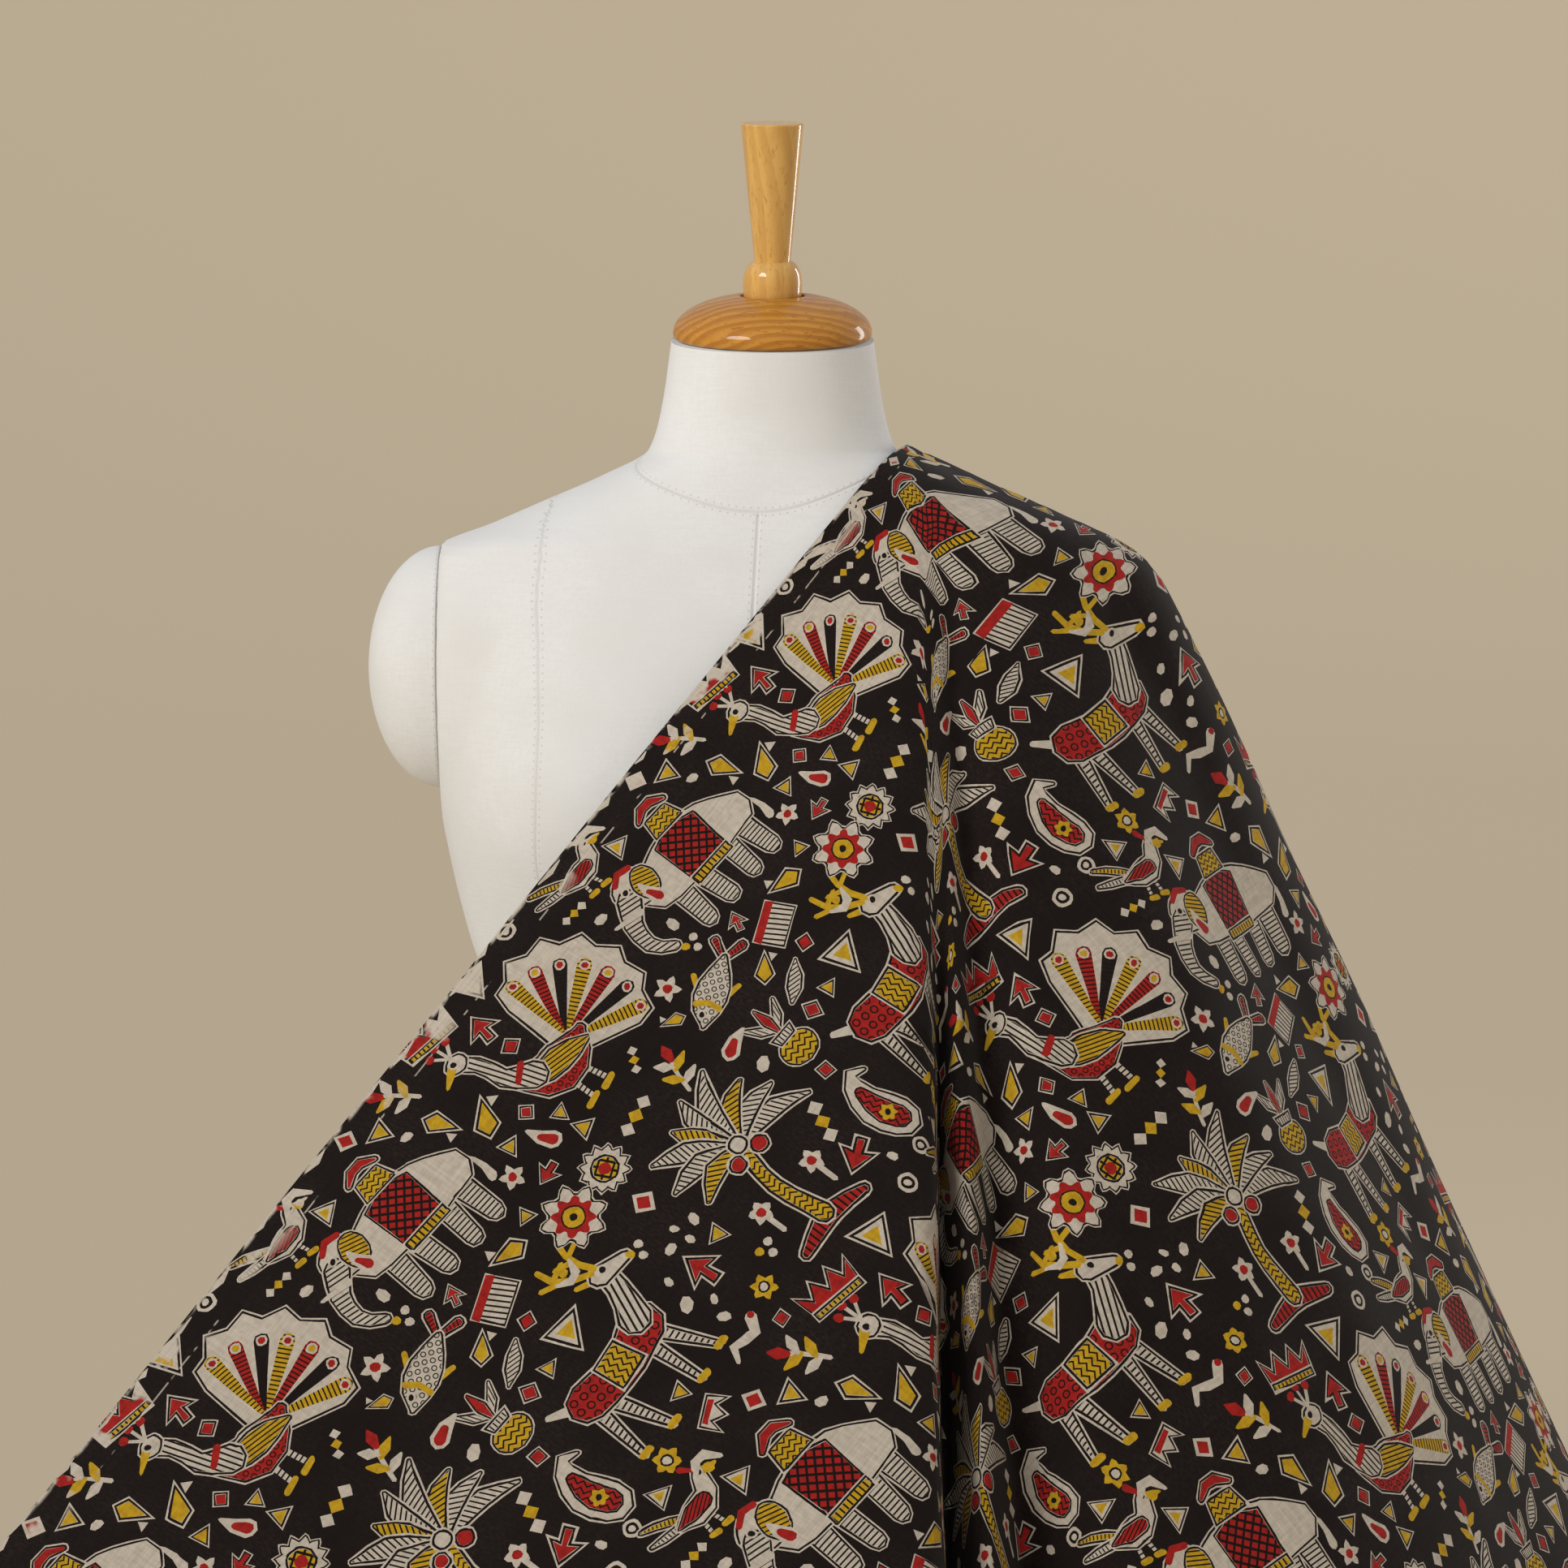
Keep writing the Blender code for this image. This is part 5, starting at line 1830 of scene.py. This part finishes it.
def color_property(name, description, default):
    """A colour that the user can change."""
    return bpy.props.FloatVectorProperty(name=name, description=description, default=default,
                                         size=3, min=0.0, max=1.0, subtype="COLOR")


# Pieces, one operator each

class DrapeClothSettings(bpy.types.PropertyGroup):
    """Sizes of the print."""

    rim: bpy.props.FloatProperty(
        name="Cream rim", description="Width that a shape's cream rim adds round it",
        default=0.0011, min=0.0002, unit="LENGTH")
    line_inset: bpy.props.FloatProperty(
        name="Line inset", description="How far inside a shape its drawn line ends",
        default=0.0012, min=0.0002, unit="LENGTH")
    motif_scale: bpy.props.FloatProperty(
        name="Motif scale", description="Size of the motifs and of their repeat",
        default=1.08, min=0.5, max=3.0)
    flat_width: bpy.props.FloatProperty(
        name="Flat width", description="Width of the cloth before it was draped",
        default=1.13, min=0.1, unit="LENGTH")
    flat_length: bpy.props.FloatProperty(
        name="Flat length", description="Length of the cloth before it was draped",
        default=2.00, min=0.1, unit="LENGTH")


class DrapeFormSettings(bpy.types.PropertyGroup):
    """Fineness of the linen form."""

    levels: bpy.props.IntProperty(
        name="Levels", description="Rings of the torso from its bottom to its neck",
        default=150, min=20)
    sides: bpy.props.IntProperty(
        name="Sides", description="Points round each ring of the torso",
        default=240, min=24)


class DrapeWoodSettings(bpy.types.PropertyGroup):
    """Colours of the turned wood."""

    cap_light: color_property(
        "Cap, light", "Light wood of the neck cap", (0.660, 0.310, 0.045))
    cap_dark: color_property(
        "Cap, dark", "Growth rings of the neck cap", (0.400, 0.135, 0.014))
    finial_light: color_property(
        "Finial, light", "Light wood of the finial", (0.800, 0.470, 0.130))
    finial_dark: color_property(
        "Finial, dark", "Grain of the finial", (0.560, 0.280, 0.062))
    base_light: color_property(
        "Base, light", "Light wood of the base plate", (0.230, 0.110, 0.045))
    base_dark: color_property(
        "Base, dark", "Grain of the base plate", (0.110, 0.048, 0.020))


class DrapeStageSettings(bpy.types.PropertyGroup):
    """Backdrop, lights and camera."""

    backdrop_color: color_property(
        "Backdrop", "Colour of the floor and the backdrop", (0.490, 0.408, 0.294))
    backdrop_glow: bpy.props.FloatProperty(
        name="Backdrop glow", description="Share of its brightness that the backdrop gives itself",
        default=0.75, min=0.0, max=1.0, subtype="FACTOR")
    backdrop_radius: bpy.props.FloatProperty(
        name="Backdrop radius", description="Where the round floor starts to rise",
        default=6.6, min=2.0, unit="LENGTH")
    backdrop_height: bpy.props.FloatProperty(
        name="Backdrop height", description="How high the rim of the backdrop rises",
        default=3.2, min=0.5, unit="LENGTH")
    sun_strength: bpy.props.FloatProperty(
        name="Main light", description="Strength of the soft light from the left",
        default=2.6, min=0.0)
    sun_azimuth: bpy.props.FloatProperty(
        name="Main light azimuth", description="Direction of the main light, from the front",
        default=math.radians(-40.0), subtype="ANGLE")
    sun_elevation: bpy.props.FloatProperty(
        name="Main light elevation", description="Height of the main light above the floor",
        default=math.radians(18.0), subtype="ANGLE")
    sun_spread: bpy.props.FloatProperty(
        name="Main light softness", description="Angle that the main light covers",
        default=math.radians(28.0), subtype="ANGLE")
    fill_strength: bpy.props.FloatProperty(
        name="Fill light", description="Strength of the even light from all round",
        default=0.44, min=0.0)
    edge_power: bpy.props.FloatProperty(
        name="Edge light", description="Power of the narrow light at the right behind the form",
        default=14.0, min=0.0, unit="POWER")
    edge_place: bpy.props.FloatVectorProperty(
        name="Edge light place", description="Where the narrow light stands",
        default=(1.75, 1.25, 1.15), size=3, subtype="TRANSLATION", unit="LENGTH")
    camera_place: bpy.props.FloatVectorProperty(
        name="Camera", description="Where the camera stands",
        default=(0.0063, -2.390, 0.764), size=3, subtype="TRANSLATION", unit="LENGTH")
    camera_target: bpy.props.FloatVectorProperty(
        name="Camera target", description="What the camera looks at",
        default=(0.0063, 0.0, 0.5547), size=3, subtype="TRANSLATION", unit="LENGTH")
    lens: bpy.props.FloatProperty(
        name="Lens", description="Focal length in millimetres on a 36 mm sensor",
        default=99.3, min=10.0)


class DRAPE_OT_form(bpy.types.Operator):
    """Builds the linen-covered torso and its two arm caps"""

    bl_idname = "drape.form"
    bl_label = "Linen form"

    def execute(self, context):
        settings = context.scene.drape_form
        torso = make_torso(settings.levels, settings.sides)
        torso.data.materials.append(linen_material("cream_linen"))
        domed = linen_material("cream_linen_dome", domed=True)
        caps = [make_arm_cap("linen_arm_cap_left", 1.0), make_arm_cap("linen_arm_cap_right", -1.0)]
        for cap in caps:
            cap.data.materials.append(domed)
        for piece, node in zip([torso] + caps, ("torso", "arm_cap_left", "arm_cap_right")):
            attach(piece, "root")
            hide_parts(node)
        return {"FINISHED"}


class DRAPE_OT_turned_wood(bpy.types.Operator):
    """Builds the neck cap and the finial on it"""

    bl_idname = "drape.turned_wood"
    bl_label = "Neck cap and finial"

    def execute(self, context):
        settings = context.scene.drape_wood
        cap = turned("turned_neck_cap", NECK_CAP_PROFILE, NECK_CAP_RECESS, NECK_TOP)
        cap.data.materials.append(wood_material("neck_cap_wood", (*settings.cap_dark, 1.0),
                                                (*settings.cap_light, 1.0), 0.5,
                                                NECK_TOP - CAP_HEART_DEPTH))
        finial = turned("turned_finial", FINIAL_BEAD, FINIAL_SHAFT, NECK_TOP + FINIAL_SEAT)
        finial.data.materials.append(wood_material("finial_wood", (*settings.finial_dark, 1.0),
                                                   (*settings.finial_light, 1.0), 0.9))
        for piece, node in ((cap, "neck_cap"), (finial, "finial")):
            tilt_with_neck(piece)
            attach(piece, "root")
            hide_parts(node)
        return {"FINISHED"}


class DRAPE_OT_stand(bpy.types.Operator):
    """Builds the round base plate and the pole under the form"""

    bl_idname = "drape.stand"
    bl_label = "Stand"

    def execute(self, context):
        settings = context.scene.drape_wood
        turns = np.linspace(0.0, 0.5 * math.pi, BASE_EDGE_STEPS)
        top_edge = [(BASE_RADIUS - BASE_EDGE_ROUND * (1.0 - math.cos(turn)),
                     BASE_THICKNESS - BASE_EDGE_ROUND * (1.0 - math.sin(turn)))
                    for turn in turns]
        base = turned("turned_base_plate", [(BASE_RADIUS, 0.0), top_edge[0]], top_edge[1:], 0.0,
                      steps=4)
        base.data.materials.append(wood_material("base_wood", (*settings.base_dark, 1.0),
                                                 (*settings.base_light, 1.0), 0.4,
                                                 -BASE_HEART_DEPTH))
        pole_top = FORM_BOTTOM - BASE_THICKNESS - 2.0 * TOUCHING_GAP
        pole = turned("steel_pole", [(POLE_RADIUS, 0.0), (POLE_RADIUS, pole_top)], [],
                      BASE_THICKNESS + TOUCHING_GAP, sides=64, steps=4)
        pole.data.materials.append(steel_material())
        for piece, node, slot in ((base, "base_plate", "dark_wood"),
                                  (pole, "stand_pole", "satin_steel")):
            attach(piece, "root")
            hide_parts(node)
        return {"FINISHED"}


class DRAPE_OT_cloth(bpy.types.Operator):
    """Builds the printed cloth over the form"""

    bl_idname = "drape.cloth"
    bl_label = "Printed cloth"

    def execute(self, context):
        settings = context.scene.drape_cloth
        cloth, drape = make_cloth(settings)
        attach(cloth, "root")
        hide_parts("cloth")
        drape.area()
        return {"FINISHED"}


class DRAPE_OT_stage(bpy.types.Operator):
    """Builds the backdrop, the lights and the camera"""

    bl_idname = "drape.stage"
    bl_label = "Stage"

    def execute(self, context):
        settings = context.scene.drape_stage
        make_backdrop(settings)
        add_lights(context, settings)
        camera = add_camera(context, settings)
        context.scene.camera = camera
        context.scene.view_settings.view_transform = "Standard"
        return {"FINISHED"}


class DRAPE_PT_panel(bpy.types.Panel):
    """Lists the settings and the pieces"""

    bl_idname = "DRAPE_PT_panel"
    bl_label = "Draped printed cloth"
    bl_space_type = "VIEW_3D"
    bl_region_type = "UI"
    bl_category = "Drape"

    def draw(self, context):
        for group, operators in PANEL_ROWS:
            box = self.layout.box()
            settings = getattr(context.scene, group)
            for name in type(settings).__annotations__:
                box.prop(settings, name)
            for operator in operators:
                box.operator(operator.bl_idname)


PANEL_ROWS = (
    ("drape_form", (DRAPE_OT_form,)),
    ("drape_wood", (DRAPE_OT_turned_wood, DRAPE_OT_stand)),
    ("drape_cloth", (DRAPE_OT_cloth,)),
    ("drape_stage", (DRAPE_OT_stage,)),
)
SETTINGS = {
    "drape_form": DrapeFormSettings,
    "drape_wood": DrapeWoodSettings,
    "drape_cloth": DrapeClothSettings,
    "drape_stage": DrapeStageSettings,
}
CLASSES = (
    *SETTINGS.values(),
    *(operator for _, operators in PANEL_ROWS for operator in operators),
    DRAPE_PT_panel,
)


def register():
    """Registers the classes and puts their settings on the scene."""
    for kind in CLASSES:
        bpy.utils.register_class(kind)
    for name, kind in SETTINGS.items():
        setattr(bpy.types.Scene, name, bpy.props.PointerProperty(type=kind))


def unregister():
    """Takes the settings and the classes away again."""
    for name in SETTINGS:
        delattr(bpy.types.Scene, name)
    for kind in reversed(CLASSES):
        bpy.utils.unregister_class(kind)


def main():
    """Builds every piece in order."""
    register()
    bpy.ops.drape.form()
    bpy.ops.drape.turned_wood()
    bpy.ops.drape.stand()
    bpy.ops.drape.cloth()
    bpy.ops.drape.stage()


if __name__ == "__main__":
    main()
